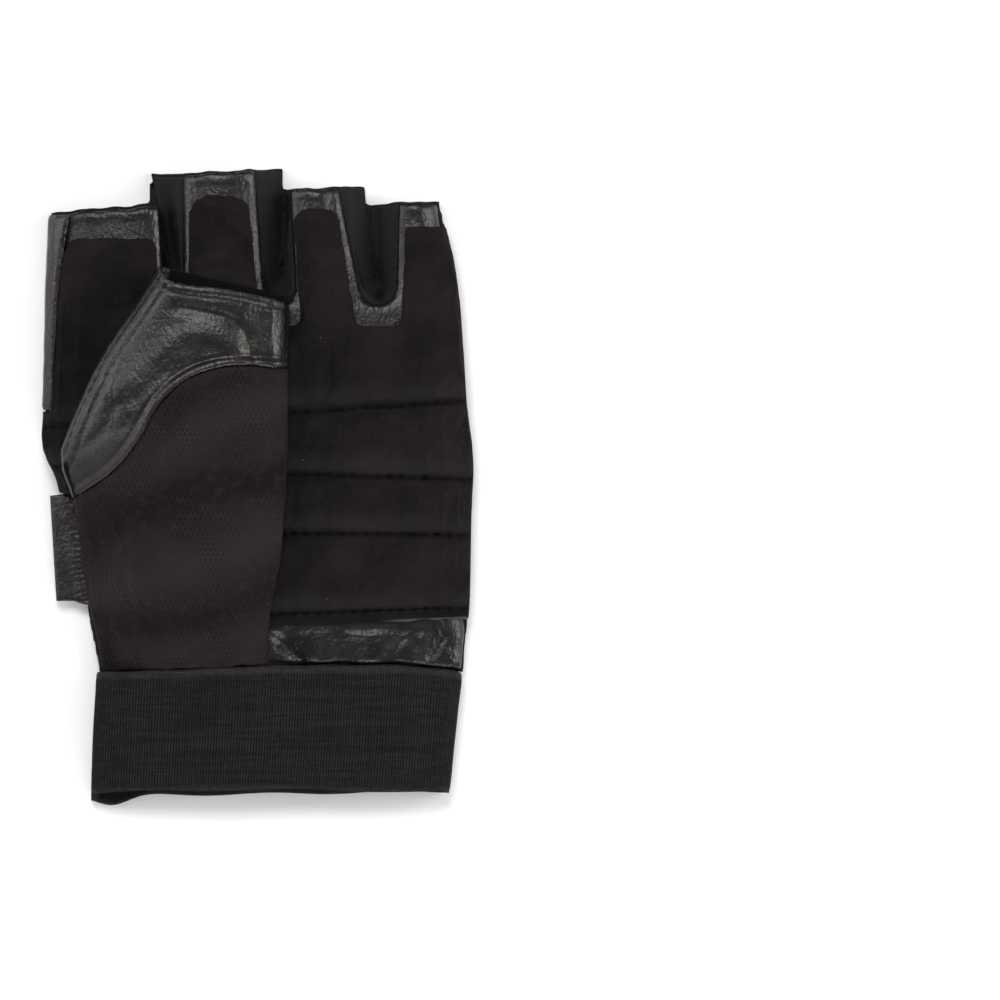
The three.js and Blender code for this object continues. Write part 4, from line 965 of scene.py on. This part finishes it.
def shifted(line, aside):
    """A plan line moved to its left by a distance."""
    step = np.gradient(line, axis=0)
    step /= np.linalg.norm(step, axis=1)[:, None]
    return line + np.column_stack([-step[:, 1], step[:, 0]]) * aside


def across_palm(middle, slope):
    """A straight line over the part of the palm that the thumb leaves free."""
    x = np.linspace(9.0, 51.5, 60)
    return np.column_stack([x, middle + slope * x])


# Stage


def studio():
    """A pale floor under broad soft lights: one high up, and low ones at the left, right and front."""
    bpy.ops.object.select_all(action="DESELECT")
    bpy.ops.mesh.primitive_plane_add(size=6.0, location=(0, 0, 0))
    floor = bpy.context.object
    floor.name = "floor"
    pale = bpy.data.materials.new("pale_floor")
    pale.use_nodes = True
    pale.node_tree.nodes["Principled BSDF"].inputs["Base Color"].default_value = (0.9, 0.9, 0.9, 1)
    pale.node_tree.nodes["Principled BSDF"].inputs["Roughness"].default_value = 0.9
    floor.data.materials.append(pale)
    for name, place, size, power in [
        ("above", (-0.12, 0.62, 1.10), 0.50, 9.0),
        ("left", (-0.85, 0.30, 0.50), 0.70, 6.0),
        ("right", (0.95, 0.10, 0.52), 0.60, 8.5),
        ("front", (0.10, -1.05, 0.50), 0.80, 10.0),
    ]:
        light = bpy.data.lights.new(name, "AREA")
        light.energy = power
        light.size = size
        lamp = bpy.data.objects.new(name, light)
        lamp.location = place
        lamp.rotation_euler = Vector(place).to_track_quat("Z", "Y").to_euler()
        bpy.context.scene.collection.objects.link(lamp)
    world = bpy.data.worlds.new("studio")
    world.use_nodes = True
    world.node_tree.nodes["Background"].inputs["Color"].default_value = (1, 1, 1, 1)
    world.node_tree.nodes["Background"].inputs["Strength"].default_value = 0.15
    bpy.context.scene.world = world
    bpy.context.scene.view_settings.view_transform = "Standard"


PHOTO_MIDDLE = (60.75, -3.25)  # the plan point under the middle of the photograph
PHOTO_WIDTH = 250.0  # how much of the plan it takes in
CAMERA_HEIGHT = 2600.0
LYING_HEIGHT = 12.0  # the height at which the photograph's scale holds


def camera():
    """Looks straight down, as the photograph does."""
    lens = bpy.data.cameras.new("camera")
    lens.sensor_width = 36.0
    lens.lens = 36.0 * (CAMERA_HEIGHT - LYING_HEIGHT) / PHOTO_WIDTH
    eye = bpy.data.objects.new("camera", lens)
    eye.location = (PHOTO_MIDDLE[0] * MM, PHOTO_MIDDLE[1] * MM, CAMERA_HEIGHT * MM)
    bpy.context.scene.collection.objects.link(eye)
    bpy.context.scene.camera = eye


studio()
camera()

leather = leather_finish()
suede = suede_finish()
knit = knit_finish()
stretch = stretch_finish()
# painted light: the gussets get a lighter copy of the back's stretch fabric, to make up for the shade between
# the finger stalls
gusset = stretch_finish("gusset_fabric_painted_lighter", 0.0085)
elastic = elastic_finish()
thread = thread_finish()
seam_thread = thread_finish("seam_thread", 0.012)

suede_piece = palm_suede(suede)
palm_leather(leather)
index_strip(leather)
side_tab(leather)
back_of_hand(stretch)
for which in ("index_middle", "middle_ring", "ring_little"):
    fourchette(which, gusset)
cap_piece = thumb_leather(leather)
thumb_mesh(knit)
wrist_cuff(elastic)

stitch = stitch_shape()
palm_ground = ground(suede_piece)
for number, channel in enumerate(CHANNELS, 1):
    stitch_row(stitch, f"channel_stitches_{number}", across_palm(*channel), palm_ground, thread, sink=0.3)
stitch_row(stitch, "hem_stitches", across_palm(*HEM), palm_ground, thread, sink=0.12)
cap_ground = ground(cap_piece)
seam = curve_through(THUMB_SEAM, 60)
stitch_row(stitch, "seam_stitches_outer", shifted(seam, 1.2), cap_ground, seam_thread)
stitch_row(stitch, "seam_stitches_inner", shifted(seam, 4.0), cap_ground, seam_thread, sink=0.14)
mouth = shifted(curve_through(THUMB_MOUTH, 60), -2.3)
stitch_row(stitch, "mouth_stitches", mouth, cap_ground, seam_thread, sink=0.14)
bpy.data.objects.remove(stitch)
